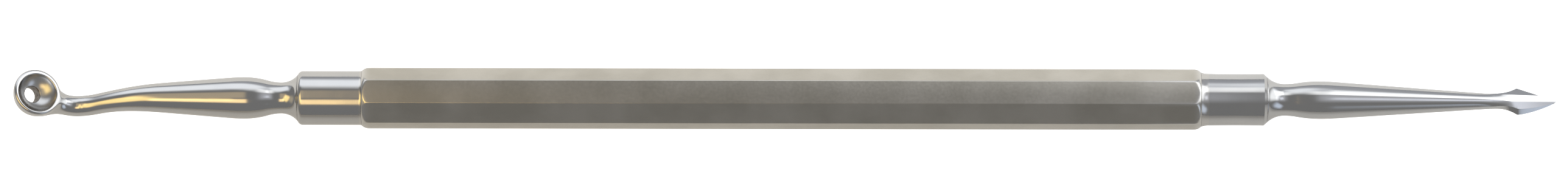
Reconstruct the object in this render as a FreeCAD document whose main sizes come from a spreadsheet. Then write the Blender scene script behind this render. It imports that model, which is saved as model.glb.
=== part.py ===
"""Double-ended blackhead extractor: a drilled spoon on one end and a spear lancet on the other.

Millimetres, +X along the tool towards the lancet, +Z up. The origin is the middle of the handle
flat that the tool lies on, so the tool's axis runs half the distance across flats above it.

Each end is modelled outwards from the handle's end face, on the tool's axis: its own X points
away from the handle, and on the spoon its own Z points to the side that the cup opens to.
"""

import FreeCAD, Part
import os

import Sketcher

# Driving dimensions: name, value in millimetres or degrees, and what it is.
SIZES = (
    ("handle_length", 76.2, "octagonal handle, end face to end face"),
    ("handle_flats", 5.2, "octagon, across flats"),
    ("handle_end_round", 0.6, "length of the turned rounding on each end of the handle"),
    ("handle_end_land", 0.05, "rounding stops this far outside the flats, at the end face"),
    ("tang_dia", 2.6, "tang of either end piece"),
    ("tang_depth", 10.0, "how far a tang reaches into the handle"),
    ("tang_clearance", 0.03, "gap for filler round a tang"),
    ("tang_end_gap", 0.5, "free depth of the bore past the tang"),
    ("tang_chamfer", 0.3, "lead-in on the tang's inner end"),
    ("drill_point", 0.8, "cone left by the drill at the bottom of the bore"),
    ("braze_prep", 0.4, "depth of the chamfer on a ferrule's inner end, which filler fills"),
    ("braze_inset", 0.03, "filler stays this far inside the handle's flats"),
    ("spoon_braze_length", 0.2, "filler along the spoon ferrule"),
    ("spoon_ferrule_length", 5.8, "spoon ferrule, along the axis"),
    ("spoon_ferrule_step", 0.15, "spoon ferrule lies this far inside the handle's flats"),
    ("spoon_ferrule_edge", 0.3, "height of the rounded outer edge"),
    ("spoon_ferrule_round", 0.65, "length of the rounded outer edge"),
    ("spoon_flare_length", 1.5, "trumpet shoulder, ferrule to neck"),
    ("spoon_neck_dia", 2.84, "narrowest place behind the bulb"),
    ("spoon_bulb_reach", 3.37, "neck to the widest place of the bulb"),
    ("spoon_bulb_dia", 3.8, "widest place of the bulb"),
    ("spoon_bulb_crest", 1.2, "length of the crest's curve past the widest place"),
    ("spoon_taper_length", 7.66, "bulb to the start of the bend"),
    ("spoon_taper_dia", 2.68, "diameter at the start of the bend"),
    ("spoon_roll", 16.0, "plane of the bend, turned about the axis from upright"),
    ("bend_down_radius", 15.0, "first bend, away from the cup's side"),
    ("bend_down_angle", 24.0, "turn of the first bend"),
    ("bend_up_radius", 3.3, "second bend, back up to the cup"),
    ("bend_up_angle", 30.0, "final rise of the shank, from the axis"),
    ("shank_dia", 1.85, "shank from the first bend to the cup"),
    ("spigot_dia", 0.9, "spigot that locates the cup on the shank"),
    ("spigot_length", 0.7, "length of the spigot"),
    ("spigot_clearance", 0.02, "gap for filler round the spigot"),
    ("stem_length", 1.6, "flared stem of the cup, up to inside the ball"),
    ("stem_flare", 0.48, "growth of the stem's radius into the ball"),
    ("stem_lift", 0.42, "rise of the stem's wide end towards the rim"),
    ("cup_reach", 2.72, "seam to abreast of the cup's centre, along the stem"),
    ("cup_lift", 0.82, "cup's centre above the stem's line"),
    ("cup_dia", 4.36, "ball that the cup is cut from"),
    ("cup_rim", 0.33, "width of the rim"),
    ("cup_depth", 1.33, "depth of the dimple"),
    ("cup_pitch", 8.1, "rim leans this far outwards from square to the stem"),
    ("cup_roll", 7.9, "rim leans this far sideways"),
    ("lip_round", 0.1, "rounding of the rim's outer edge"),
    ("hole_dia", 1.5, "extraction hole through the cup's floor"),
    ("hole_roll", 17.5, "extraction hole leans this far sideways"),
    ("lancet_braze_length", 0.7, "filler along the lancet ferrule"),
    ("lancet_ferrule_length", 6.0, "lancet ferrule, along the axis"),
    ("lancet_ferrule_step", 0.24, "lancet ferrule lies this far inside the handle's flats"),
    ("lancet_ferrule_edge", 0.26, "height of the chamfered outer edge"),
    ("lancet_ferrule_chamfer", 0.38, "length of the chamfered outer edge"),
    ("lancet_flare_length", 1.6, "trumpet shoulder, ferrule to neck"),
    ("lancet_neck_dia", 2.9, "narrowest place behind the bulb"),
    ("lancet_bulb_reach", 3.15, "neck to the widest place of the bulb"),
    ("lancet_bulb_dia", 3.44, "widest place of the bulb"),
    ("lancet_bulb_crest", 1.5, "length of the crest's curve past the widest place"),
    ("lancet_taper_length", 15.65, "bulb to the waist behind the blade"),
    ("lancet_waist_dia", 1.36, "waist behind the blade"),
    ("barb_length", 2.3, "waist to the blade's widest place"),
    ("blade_width", 2.46, "blade, across its widest place"),
    ("blade_bevel", 0.5, "width of the ground edge bevel at the widest place"),
    ("blade_thickness", 0.66, "blade, through its flats at the widest place"),
    ("blade_length", 3.55, "widest place to the point"),
    ("blade_belly", 0.2, "swell of the near cutting edge half way to the point"),
    ("point_width", 0.1, "blunt width left at the point"),
)

HALF_CORNER = 22.5  # degrees, from the middle of one of the octagon's flats to its corner
SAME_PLACE = 1e-6  # two points closer than this are one

# Proportions that shape a curve and are not sizes of their own.
HOLLOW_SHARE = 0.35  # part of the neck-to-bulb sweep that is hollow before it turns full
STEM_GROWTH = (("seam", 0, 0), ("waist", 0.5, 0.35), ("root", 1, 1))  # name, share along, share grown
BARB_STEPS = 3  # spans of the sweep from the waist to the barbs
BARB_SWEEP = 2.4  # power of that sweep: the width grows late
WAIST_SEAT = 0.98  # blade's first section, as shares of the waist's radius: half width,
WAIST_FLAT = 0.6  # half width of its flats,
WAIST_THICK = 0.75  # and half thickness
MID_THICK = 0.7  # thickness half way to the point, as a share of that at the widest place

# Radii that several pieces share, written in the driving dimensions.
HALF_FLATS = "(Sizes.handle_flats / 2)"
TANG_RADIUS = "(Sizes.tang_dia / 2)"
BORE_RADIUS = f"({TANG_RADIUS} + Sizes.tang_clearance)"
SHANK_RADIUS = "(Sizes.shank_dia / 2)"
SPIGOT_RADIUS = "(Sizes.spigot_dia / 2)"
BALL_RADIUS = "(Sizes.cup_dia / 2)"

# Frames of the pieces: the handle's middle and its two ends.
HANDLE_AXIS = f"placement(vector(0; 0; {HALF_FLATS}); rotation(vector(0; 0; 1); 0))"
LANCET_END = (
    f"placement(vector(Sizes.handle_length / 2; 0; {HALF_FLATS}); rotation(vector(0; 0; 1); 0))"
)
SPOON_END = (
    f"placement(vector(-Sizes.handle_length / 2; 0; {HALF_FLATS}); "
    "rotation(vector(0; sin(Sizes.spoon_roll / 2); cos(Sizes.spoon_roll / 2)); 180))"
)

doc = FreeCAD.newDocument("blackhead_extractor")
sheet = doc.addObject("Spreadsheet::Sheet", "Sizes")
for row, (alias, size, meaning) in enumerate(SIZES, 1):
    sheet.set(f"A{row}", alias)
    sheet.set(f"B{row}", str(size))
    sheet.setAlias(f"B{row}", alias)
    sheet.set(f"C{row}", meaning)
doc.recompute()


def value(text):
    """The number that an expression in the driving dimensions comes to."""
    found = sheet.evalExpression(text.replace("Sizes.", ""))
    return float(getattr(found, "Value", found))


def new_piece(label, placement):
    """An empty body named for its piece, set in the tool's frame."""
    body = doc.addObject("PartDesign::Body", label)
    body.Label = label
    body.setExpression("Placement", placement)
    return body


def own_plane(body, role):
    """One of a body's own origin planes."""
    return next(f for f in body.Origin.OriginFeatures if f.Role == role)


def new_sketch(body, name, plane, offset=None):
    """A sketch on one of the body's planes, shifted and turned from it by offset."""
    sketch = body.newObject("Sketcher::SketchObject", f"{body.Label}_{name}_sketch")
    sketch.AttachmentSupport = [(own_plane(body, plane), "")]
    sketch.MapMode = "FlatFace"
    if offset:
        sketch.setExpression("AttachmentOffset", offset)
    return sketch


def station(along, up="0", droop="0"):
    """Offset that stands a cross-section on the XZ plane's curve, facing droop degrees down."""
    return f"placement(vector(0; {up}; {along}); rotation(vector(1; 0; 0); {droop}))"


def bind(sketch, kind, *places, text):
    """Add one dimension to a sketch and bind it to an expression."""
    index = sketch.addConstraint(Sketcher.Constraint(kind, *places, value(text)))
    sketch.setExpression(f"Constraints[{index}]", text)


def draw_side(sketch, start, stop, arc=None):
    """Draw a line, or an arc given as (radius, bulge), between two bound points.

    bulge is 1 where the arc swells to the left of the way from start to stop, and -1 to the
    right. Returns the side's index and which of its ends are the start and the stop.
    """
    first, last = (FreeCAD.Vector(value(x), value(y), 0) for x, y in (start, stop))
    if arc:
        radius, bulge = value(arc[0]), arc[1]
        half = (last - first) * 0.5
        outward = FreeCAD.Vector(-half.y, half.x, 0).normalize() * bulge
        sagitta = radius - (radius**2 - half.Length**2) ** 0.5
        side = Part.Arc(first, first + half + outward * sagitta, last)
    else:
        side = Part.LineSegment(first, last)
    index = sketch.addGeometry(side, False)
    forward = sketch.getPoint(index, 1).distanceToPoint(first) < SAME_PLACE
    ends = (1, 2) if forward else (2, 1)
    if arc:
        bind(sketch, "Radius", index, text=arc[0])
    return index, *ends


def pin(sketch, index, end, place):
    """Bind one end of a side to a place, measured from the sketch's origin."""
    bind(sketch, "DistanceX", -1, 1, index, end, text=place[0])
    bind(sketch, "DistanceY", -1, 1, index, end, text=place[1])


def closed_outline(sketch, corners, arcs=None):
    """Draw one closed loop: side i runs from corner i to the next, round where arcs has i."""
    arcs = arcs or {}
    stops = corners[1:] + corners[:1]
    sides = [
        draw_side(sketch, start, stop, arcs.get(i))
        for i, (start, stop) in enumerate(zip(corners, stops))
    ]
    for corner, side, following in zip(corners, sides, sides[1:] + sides[:1]):
        meet = Sketcher.Constraint("Coincident", side[0], side[2], following[0], following[1])
        sketch.addConstraint(meet)
        pin(sketch, side[0], side[1], corner)


def open_arc(sketch, start, stop, arc):
    """Draw one arc as a path."""
    index, first, last = draw_side(sketch, start, stop, arc)
    pin(sketch, index, first, start)
    pin(sketch, index, last, stop)


def circle(sketch, radius):
    """Draw a circle about the sketch's origin."""
    drawn = Part.Circle(FreeCAD.Vector(), FreeCAD.Vector(0, 0, 1), value(radius))
    index = sketch.addGeometry(drawn, False)
    sketch.addConstraint(Sketcher.Constraint("Coincident", index, 3, -1, 1))
    bind(sketch, "Radius", index, text=radius)


def turn(body, sketch, name, kind="PartDesign::Revolution", axis="H_Axis"):
    """Turn a sketch about one of its own axes, to add (Revolution) or to cut (Groove)."""
    before = body.Shape.Volume if kind == "PartDesign::Groove" else None
    feature = body.newObject(kind, f"{body.Label}_{name}")
    feature.Profile = sketch
    feature.ReferenceAxis = (sketch, [axis])
    feature.Angle = 360
    doc.recompute()
    if before is not None and not body.Shape.Volume < before:
        raise RuntimeError(f"{feature.Label} cuts nothing")
    return feature


def loft(body, sections, name, ruled=False):
    """Join a row of section sketches into a solid that is added to the body."""
    feature = body.newObject("PartDesign::AdditiveLoft", f"{body.Label}_{name}")
    feature.Profile = sections[0]
    feature.Sections = sections[1:]
    feature.Ruled = ruled
    doc.recompute()


def level_arc_radius(run, rise):
    """Radius of the arc that starts level and reaches run along and rise across."""
    return f"((({run})^2 + ({rise})^2) / (2 * ({rise})))"


def ferrule_radius(tip):
    """Outside of the ferrule at one end of the tool."""
    return f"({HALF_FLATS} - Sizes.{tip}_ferrule_step)"


def neck_at(tip):
    """Distance of an end piece's neck from the handle."""
    return f"(Sizes.{tip}_ferrule_length + Sizes.{tip}_flare_length)"


def taper_stop(tip):
    """Distance from the handle at which an end piece's straight taper stops."""
    return f"({neck_at(tip)} + Sizes.{tip}_bulb_reach + Sizes.{tip}_taper_length)"


def turn_end_piece(body, tip, taper_end):
    """Turn an end piece from its tang to where its taper stops, at the radius taper_end.

    The shoulder sweeps hollow to the neck, and the neck to the bulb in two arcs that are level
    at both, and the bulb's crest rolls into a straight taper.
    """
    length = f"Sizes.{tip}_ferrule_length"
    shoulder = f"({ferrule_radius(tip)} - Sizes.{tip}_ferrule_edge)"
    neck, bulb = f"(Sizes.{tip}_neck_dia / 2)", f"(Sizes.{tip}_bulb_dia / 2)"
    reach, swell = f"Sizes.{tip}_bulb_reach", f"({bulb} - {neck})"
    sweep = level_arc_radius(reach, swell)
    bulb_at = f"({neck_at(tip)} + {reach})"
    crest = f"Sizes.{tip}_bulb_crest"
    drop = f"(({bulb} - {taper_end}) * {crest} / (2 * Sizes.{tip}_taper_length - {crest}))"
    corners = [
        ("-Sizes.tang_depth", "0"),
        ("-Sizes.tang_depth", f"{TANG_RADIUS} - Sizes.tang_chamfer"),
        ("-Sizes.tang_depth + Sizes.tang_chamfer", TANG_RADIUS),
        (length, TANG_RADIUS),
        (length, shoulder),
        (neck_at(tip), neck),
        (f"{neck_at(tip)} + {reach} * {HOLLOW_SHARE}", f"{neck} + {swell} * {HOLLOW_SHARE}"),
        (bulb_at, bulb),
        (f"{bulb_at} + {crest}", f"{bulb} - {drop}"),
        (taper_stop(tip), taper_end),
        (taper_stop(tip), "0"),
    ]
    arcs = {
        4: (level_arc_radius(f"Sizes.{tip}_flare_length", f"({shoulder} - {neck})"), -1),
        5: (f"({sweep} * {HOLLOW_SHARE})", -1),
        6: (f"({sweep} * (1 - {HOLLOW_SHARE}))", 1),
        7: (level_arc_radius(crest, drop), 1),
    }
    profile = new_sketch(body, "profile", "XZ_Plane")
    closed_outline(profile, corners, arcs)
    turn(body, profile, "turned")


def bend_stations():
    """Where the first bend of the spoon's shank ends, and where the second does, at the seam."""
    down, up = "Sizes.bend_down_angle", "Sizes.bend_up_angle"
    wide, tight = "Sizes.bend_down_radius", "Sizes.bend_up_radius"
    dip_at = f"({taper_stop('spoon')} + {wide} * sin({down}))"
    dip = f"(-{wide} * (1 - cos({down})))"
    seam_at = f"({dip_at} + {tight} * (sin({down}) + sin({up})))"
    seam = f"({dip} + {tight} * (cos({down}) - cos({up})))"
    return (dip_at, dip), (seam_at, seam)


def make_handle():
    """Octagonal bar, both ends turned round at the corners and bored for a tang."""
    body = new_piece("handle_bar", HANDLE_AXIS)
    octagon = new_sketch(body, "octagon", "YZ_Plane")
    far, near = HALF_FLATS, f"({HALF_FLATS} * tan({HALF_CORNER}))"
    quarter = [(near, far), (far, near)]
    corners = [(y, z) for y, z in quarter]
    corners += [(z, f"-{y}") for y, z in quarter]
    corners += [(f"-{y}", f"-{z}") for y, z in quarter]
    corners += [(f"-{z}", y) for y, z in quarter]
    closed_outline(octagon, corners)
    bar = body.newObject("PartDesign::Pad", "handle_bar_length")
    bar.Profile = octagon
    bar.setExpression("Length", "Sizes.handle_length")
    bar.Midplane = True
    doc.recompute()

    end = "(Sizes.handle_length / 2)"
    ring = "Sizes.handle_end_round"
    corner = f"({HALF_FLATS} / cos({HALF_CORNER}))"
    face = f"({HALF_FLATS} + Sizes.handle_end_land)"
    rounding = new_sketch(body, "rounding", "XZ_Plane")
    closed_outline(
        rounding,
        [
            (f"{end} - {ring}", corner),
            (end, face),
            (f"{end} + {ring}", face),
            (f"{end} + {ring}", f"{corner} + {ring}"),
            (f"{end} - {ring}", f"{corner} + {ring}"),
        ],
        {0: (level_arc_radius(ring, f"({corner} - {face})"), 1)},
    )
    rounded = turn(body, rounding, "rounded_end", "PartDesign::Groove")

    bottom = f"({end} - Sizes.tang_depth - Sizes.tang_end_gap)"
    bore = new_sketch(body, "bore", "XZ_Plane")
    closed_outline(
        bore,
        [
            (f"{bottom} - Sizes.drill_point", "0"),
            (end, "0"),
            (end, BORE_RADIUS),
            (bottom, BORE_RADIUS),
        ],
    )
    bored = turn(body, bore, "tang_bore", "PartDesign::Groove")

    other_end = body.newObject("PartDesign::Mirrored", "handle_bar_other_end")
    other_end.Originals = [rounded, bored]
    other_end.MirrorPlane = (own_plane(body, "YZ_Plane"), [""])
    body.Tip = other_end
    doc.recompute()
    return body


def make_ferrule(tip, placement, edge_length, rounded):
    """Collar round the tang, held between the end piece's shoulder and the handle's end."""
    body = new_piece(f"{tip}_ferrule", placement)
    outside, length = ferrule_radius(tip), f"Sizes.{tip}_ferrule_length"
    edge = f"Sizes.{tip}_ferrule_edge"
    section = new_sketch(body, "section", "XZ_Plane")
    closed_outline(
        section,
        [
            ("0", BORE_RADIUS),
            ("0", f"{outside} - Sizes.braze_prep"),
            (f"Sizes.{tip}_braze_length", outside),
            (f"{length} - {edge_length}", outside),
            (length, f"{outside} - {edge}"),
            (length, BORE_RADIUS),
        ],
        {3: (level_arc_radius(edge_length, edge), 1)} if rounded else None,
    )
    turn(body, section, "collar")
    return body


def make_braze_ring(tip, placement):
    """Filler between the handle's end and a ferrule's chamfer, sloping down to the ferrule."""
    body = new_piece(f"{tip}_braze_ring", placement)
    outside = ferrule_radius(tip)
    section = new_sketch(body, "section", "XZ_Plane")
    closed_outline(
        section,
        [
            ("0", f"{outside} - Sizes.braze_prep"),
            ("0", f"{HALF_FLATS} - Sizes.braze_inset"),
            (f"Sizes.{tip}_braze_length", outside),
        ],
    )
    turn(body, section, "fillet")
    return body


def make_spoon_shank():
    """Turned stem of the spoon end, drawn thin and bent twice, with a spigot for the cup."""
    body = new_piece("spoon_shank", SPOON_END)
    taper_end = "(Sizes.spoon_taper_dia / 2)"
    turn_end_piece(body, "spoon", taper_end)

    bend, (dip, seam) = (taper_stop("spoon"), "0"), bend_stations()
    path_down = new_sketch(body, "path_down", "XZ_Plane")
    open_arc(path_down, bend, dip, ("Sizes.bend_down_radius", 1))
    path_up = new_sketch(body, "path_up", "XZ_Plane")
    open_arc(path_up, dip, seam, ("Sizes.bend_up_radius", -1))
    thick = new_sketch(body, "thick", "YZ_Plane", station(*bend))
    circle(thick, taper_end)
    thin = new_sketch(body, "thin", "YZ_Plane", station(*dip, "Sizes.bend_down_angle"))
    circle(thin, SHANK_RADIUS)

    drawn_down = body.newObject("PartDesign::AdditivePipe", "spoon_shank_bend_down")
    drawn_down.Profile = thick
    drawn_down.Spine = path_down
    drawn_down.Transformation = "Multisection"
    drawn_down.Sections = [thin]
    doc.recompute()
    bent_up = body.newObject("PartDesign::AdditivePipe", "spoon_shank_bend_up")
    bent_up.Profile = thin
    bent_up.Spine = path_up
    doc.recompute()

    foot = new_sketch(body, "spigot", "YZ_Plane", station(*seam, "-Sizes.bend_up_angle"))
    circle(foot, SPIGOT_RADIUS)
    spigot = body.newObject("PartDesign::Pad", "spoon_shank_spigot")
    spigot.Profile = foot
    spigot.setExpression("Length", "Sizes.spigot_length")
    doc.recompute()
    return body


def rim_frame(roll):
    """Offset of an upright sketch whose Y axis leans out of the cup, rolled sideways by roll."""
    return (
        "placement(vector(Sizes.cup_reach; Sizes.cup_lift; 0); "
        f"rotation(vector(1; 0; 0); -{roll}) * rotation(vector(0; 0; 1); -Sizes.cup_pitch))"
    )


def make_spoon_cup():
    """Ball cup on a flared stem, dimpled from its rim and drilled through its floor.

    The cup's own origin is the seam, with X along the stem and Z towards the rim.
    """
    _, (seam_at, seam) = bend_stations()
    on_shank = (
        f"placement(vector({seam_at}; 0; {seam}); "
        "rotation(vector(0; 1; 0); -Sizes.bend_up_angle))"
    )
    body = new_piece("spoon_cup", f"{SPOON_END} * {on_shank}")

    lip = "Sizes.lip_round"
    lip_centre = f"sqrt(({BALL_RADIUS} - {lip})^2 - {lip}^2)"
    outward = f"({BALL_RADIUS} / ({BALL_RADIUS} - {lip}))"
    ball = new_sketch(body, "ball", "XZ_Plane", rim_frame("Sizes.cup_roll"))
    closed_outline(
        ball,
        [
            ("0", "0"),
            (lip_centre, "0"),
            (f"{lip_centre} * {outward}", f"-{lip} * {outward}"),
            ("0", f"-{BALL_RADIUS}"),
        ],
        {1: (lip, 1), 2: (BALL_RADIUS, 1)},
    )
    turn(body, ball, "half_ball", axis="V_Axis")

    rings = []
    for name, along, grown in STEM_GROWTH:
        stand = station(f"Sizes.stem_length * {along}", f"Sizes.stem_lift * {grown}")
        ring = new_sketch(body, f"stem_{name}", "YZ_Plane", stand)
        circle(ring, f"{SHANK_RADIUS} + Sizes.stem_flare * {grown}")
        rings.append(ring)
    loft(body, rings, "stem")

    rim_radius = f"({BALL_RADIUS} - Sizes.cup_rim)"
    clear = f"{BALL_RADIUS} + Sizes.cup_rim"
    dimple = new_sketch(body, "dimple", "XZ_Plane", rim_frame("Sizes.cup_roll"))
    closed_outline(
        dimple,
        [("0", "-Sizes.cup_depth"), (rim_radius, "0"), (clear, "0"), (clear, clear), ("0", clear)],
        {0: (level_arc_radius(rim_radius, "Sizes.cup_depth"), -1)},
    )
    turn(body, dimple, "dimple", "PartDesign::Groove", "V_Axis")

    drill = new_sketch(body, "drill", "XZ_Plane", rim_frame("Sizes.hole_roll"))
    hole, depth = "Sizes.hole_dia / 2", f"-({clear})"
    closed_outline(drill, [("0", "0"), ("0", depth), (hole, depth), (hole, "0")])
    turn(body, drill, "extraction_hole", "PartDesign::Groove", "V_Axis")

    socket = new_sketch(body, "socket", "XZ_Plane")
    wall = f"{SPIGOT_RADIUS} + Sizes.spigot_clearance"
    floor = "Sizes.spigot_length + Sizes.spigot_clearance"
    closed_outline(socket, [("0", "0"), (floor, "0"), (floor, wall), ("0", wall)])
    turn(body, socket, "spigot_socket", "PartDesign::Groove")
    return body


def blade_section(body, name, along, near, far, thick):
    """Six-sided section of the blade: two flats and four bevels that meet at the edges.

    near and far are the half width and the half width of the flats on either side of the axis.
    """
    (near_edge, near_flat), (far_edge, far_flat) = near, far
    section = new_sketch(body, name, "YZ_Plane", station(along))
    closed_outline(
        section,
        [
            (far_edge, "0"),
            (far_flat, thick),
            (f"-{near_flat}", thick),
            (f"-{near_edge}", "0"),
            (f"-{near_flat}", f"-{thick}"),
            (far_flat, f"-{thick}"),
        ],
    )
    return section


def make_lancet():
    """Turned stem of the lancet end, run out to a point, with a flat spear blade about it."""
    body = new_piece("lancet", LANCET_END)
    waist, waist_at = "(Sizes.lancet_waist_dia / 2)", taper_stop("lancet")
    turn_end_piece(body, "lancet", waist)

    barb_at = f"({waist_at} + Sizes.barb_length)"
    point_at = f"({barb_at} + Sizes.blade_length)"
    point, blunt = "(Sizes.point_width / 2)", "(Sizes.point_width / 4)"
    spine = new_sketch(body, "spine", "XZ_Plane")
    closed_outline(
        spine, [(waist_at, "0"), (waist_at, waist), (point_at, blunt), (point_at, "0")]
    )
    turn(body, spine, "spine_taper")

    edge, flat = "(Sizes.blade_width / 2)", "(Sizes.blade_width / 2 - Sizes.blade_bevel)"
    thick = "(Sizes.blade_thickness / 2)"
    sweep = []
    for step in range(BARB_STEPS + 1):
        share = step / BARB_STEPS
        grown = share**BARB_SWEEP
        side = (
            f"({waist} * {WAIST_SEAT * (1 - grown)} + {edge} * {grown})",
            f"({waist} * {WAIST_FLAT * (1 - grown)} + {flat} * {grown})",
        )
        depth = f"({waist} * {WAIST_THICK * (1 - share)} + {thick} * {share})"
        along = f"({waist_at} + Sizes.barb_length * {share})"
        sweep.append(blade_section(body, f"barb_{step}", along, side, side, depth))
    loft(body, sweep, "barbs")

    belly = "Sizes.blade_belly"
    middle = blade_section(
        body,
        "middle",
        f"({barb_at} + Sizes.blade_length / 2)",
        (f"({edge} / 2 + {belly})", f"({flat} / 2 + {belly})"),
        (f"({edge} / 2)", f"({flat} / 2)"),
        f"({thick} * {MID_THICK})",
    )
    tip = blade_section(body, "tip", point_at, (point, blunt), (point, blunt), blunt)
    loft(body, [sweep[-1], middle, tip], "point", ruled=True)
    return body


pieces = [
    make_handle(),
    make_ferrule("spoon", SPOON_END, "Sizes.spoon_ferrule_round", rounded=True),
    make_ferrule("lancet", LANCET_END, "Sizes.lancet_ferrule_chamfer", rounded=False),
    make_braze_ring("spoon", SPOON_END),
    make_braze_ring("lancet", LANCET_END),
    make_spoon_shank(),
    make_spoon_cup(),
    make_lancet(),
]
doc.recompute()

for thing in doc.Objects:
    if {"Invalid", "Error"} & set(thing.State):
        raise RuntimeError(f"{thing.Label} failed: {thing.State}")
for piece in pieces:
    if piece.Shape.isNull() or not piece.Shape.isValid() or len(piece.Shape.Solids) != 1:
        raise RuntimeError(f"{piece.Label} is not one valid solid")

os.makedirs("parts", exist_ok=True)
for piece in pieces:
    piece.Shape.exportStep(f"parts/{piece.Label}.step")
    print(f"{piece.Label}: {piece.Shape.Volume:.3f} mm3")
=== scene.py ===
"""Looks of a double-ended blackhead extractor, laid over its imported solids.

The tool is an octagonal satin bar with a polished cup on a bent stem at one end and a
polished spear lancet at the other.  Each piece is one smooth closed surface, worked out
with numpy in millimetres in the frame of the solids, and stands for the solid of its node.
"""

import logging
import math
from collections.abc import Sequence
from dataclasses import dataclass, field
from enum import Enum

import bmesh
import bpy
import numpy as np
from mathutils import Matrix, Quaternion, Vector


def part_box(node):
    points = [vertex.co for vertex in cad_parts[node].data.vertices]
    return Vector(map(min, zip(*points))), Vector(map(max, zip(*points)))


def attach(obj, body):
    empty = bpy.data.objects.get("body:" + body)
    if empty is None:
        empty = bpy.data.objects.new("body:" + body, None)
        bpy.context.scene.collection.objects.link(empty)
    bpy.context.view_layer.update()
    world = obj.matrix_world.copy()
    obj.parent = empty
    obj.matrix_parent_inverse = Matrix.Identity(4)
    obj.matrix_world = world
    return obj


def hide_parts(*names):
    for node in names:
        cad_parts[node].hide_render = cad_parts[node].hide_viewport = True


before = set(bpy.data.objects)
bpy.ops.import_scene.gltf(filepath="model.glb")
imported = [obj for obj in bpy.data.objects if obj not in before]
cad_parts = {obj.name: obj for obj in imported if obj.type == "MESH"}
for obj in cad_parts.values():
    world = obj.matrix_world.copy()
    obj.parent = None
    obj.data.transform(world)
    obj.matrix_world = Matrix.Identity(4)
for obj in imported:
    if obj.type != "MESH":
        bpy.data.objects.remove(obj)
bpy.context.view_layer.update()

LOG = logging.getLogger("extractor")
BODY = "root"
MM = 0.001
FULL_TURN = 2 * math.pi
SHARP_ANGLE = math.radians(40)

# Sockets of a Mix node for colours, then for numbers: its kinds share their names.
MIX_SHARE, MIX_FROM, MIX_TO, MIX_RESULT = 0, 6, 7, 2
MIX_NUMBER_FROM, MIX_NUMBER_TO, MIX_NUMBER_RESULT = 2, 3, 0

# Most values of a noise lie between these two.
NOISE_LOW, NOISE_HIGH = 0.35, 0.65

# Where the middle of a lamp's face lies, on its own scale from 0 to 1.
FACE_MIDDLE = 0.5


class Slot(Enum):
    """Material slots of the record."""

    SATIN = "satin_steel"
    POLISHED = "polished_steel"
    BRAZE = "silver_braze"


class EdgeForm(Enum):
    """How the outer edge of a collar is eased."""

    ROUNDED = "rounded"
    CHAMFERED = "chamfered"


class Paint(Enum):
    """Values painted on the points of a skin, read by its material."""

    # Rubbed edges and ends, painted lighter: partly wear, partly a painted highlight.
    WEAR_AND_SHEEN = "wear_and_sheen"
    RESIDUE = "residue"
    HAZE = "haze"


def linear(colour: str) -> tuple[float, float, float, float]:
    """Turns an sRGB hex colour into linear light.

    Args:
        colour: The colour as #RRGGBB.

    Returns:
        Red, green, blue and an alpha of one.
    """
    shares = [int(colour[i : i + 2], 16) / 255 for i in (1, 3, 5)]
    light = [s / 12.92 if s <= 0.04045 else ((s + 0.055) / 1.055) ** 2.4 for s in shares]
    return (*light, 1.0)


def per_metre(size: float) -> float:
    """Scale of a pattern whose features measure size, in millimetres."""
    return 1 / (size * MM)


def ease(share: np.ndarray) -> np.ndarray:
    """Smooth step: 3 s squared less 2 s cubed, with s kept between 0 and 1."""
    kept = np.clip(share, 0, 1)
    return kept * kept * (3 - 2 * kept)


def soft_least(first: np.ndarray, second: np.ndarray, width: float | np.ndarray) -> np.ndarray:
    """The lesser of two values, with a parabola of the given width across the corner.

    Args:
        first: One value at each point.
        second: The other value there.
        width: How far apart the two are where the blend ends.

    Returns:
        The blended lesser value.
    """
    share = np.clip(0.5 + 0.5 * (second - first) / width, 0, 1)
    return second * (1 - share) + first * share - width * share * (1 - share)


def round_meet(first: np.ndarray, second: np.ndarray, radius: float) -> np.ndarray:
    """Distance to what two solids share, with the edge between them rounded.

    Args:
        first: Signed distance to one solid, negative inside.
        second: Signed distance to the other.
        radius: Radius of the rounded edge.

    Returns:
        The greater distance, and near the edge the distance to an arc of that radius.
    """
    reach = np.hypot(np.maximum(first + radius, 0), np.maximum(second + radius, 0))
    return np.minimum(np.maximum(first, second), -radius) + reach


def level_arc(level: Sequence[float], other: Sequence[float], steps: int) -> np.ndarray:
    """Points of the arc between two profile points that runs along the axis at the first.

    The arc's radius is (run squared + rise squared) / (2 rise), and it turns through twice
    the angle of its chord.

    Args:
        level: Along and radius where the arc runs level.
        other: Along and radius of its far end.
        steps: Number of points, both ends among them.

    Returns:
        The points from the level end to the far end, one to a row.
    """
    run, rise = other[0] - level[0], other[1] - level[1]
    radius = (run * run + rise * rise) / (2 * abs(rise))
    turn = np.linspace(0, 2 * math.atan2(abs(rise), abs(run)), steps)
    along = level[0] + math.copysign(radius, run) * np.sin(turn)
    out = level[1] + math.copysign(radius, rise) * (1 - np.cos(turn))
    return np.stack([along, out], axis=-1)


def straight_run(first: np.ndarray, last: np.ndarray, steps: int) -> np.ndarray:
    """Evenly spaced points from one profile point to another, both ends among them."""
    return first + (last - first) * np.linspace(0, 1, steps)[:, None]


def bell(distance: np.ndarray, reach: float) -> np.ndarray:
    """Bell curve: e to the power of minus the square of distance over reach."""
    return np.exp(-((distance / reach) ** 2))


def turned(profile: np.ndarray, columns: int) -> np.ndarray:
    """Carries a profile round the axis: each point (along, radius) becomes a ring.

    Args:
        profile: Along and radius of each row.
        columns: Points in a ring.

    Returns:
        Points as rows, columns and (along, side, up).
    """
    turn = np.linspace(0, FULL_TURN, columns, endpoint=False)
    along = np.repeat(profile[:, :1], columns, axis=1)
    return np.stack([along, profile[:, 1:] * np.cos(turn), profile[:, 1:] * np.sin(turn)], axis=-1)


def lattice(ids: np.ndarray, ring: bool = False) -> np.ndarray:
    """Four-sided faces of a grid of point numbers whose columns close round.

    Args:
        ids: Point numbers as rows and columns.
        ring: True where the last row meets the first one too.

    Returns:
        The faces as rows, columns and four point numbers.
    """
    upper = ids if ring else ids[:-1]
    lower = np.roll(ids, -1, axis=0) if ring else ids[1:]
    return np.stack([upper, np.roll(upper, -1, 1), np.roll(lower, -1, 1), lower], axis=-1)


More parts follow.
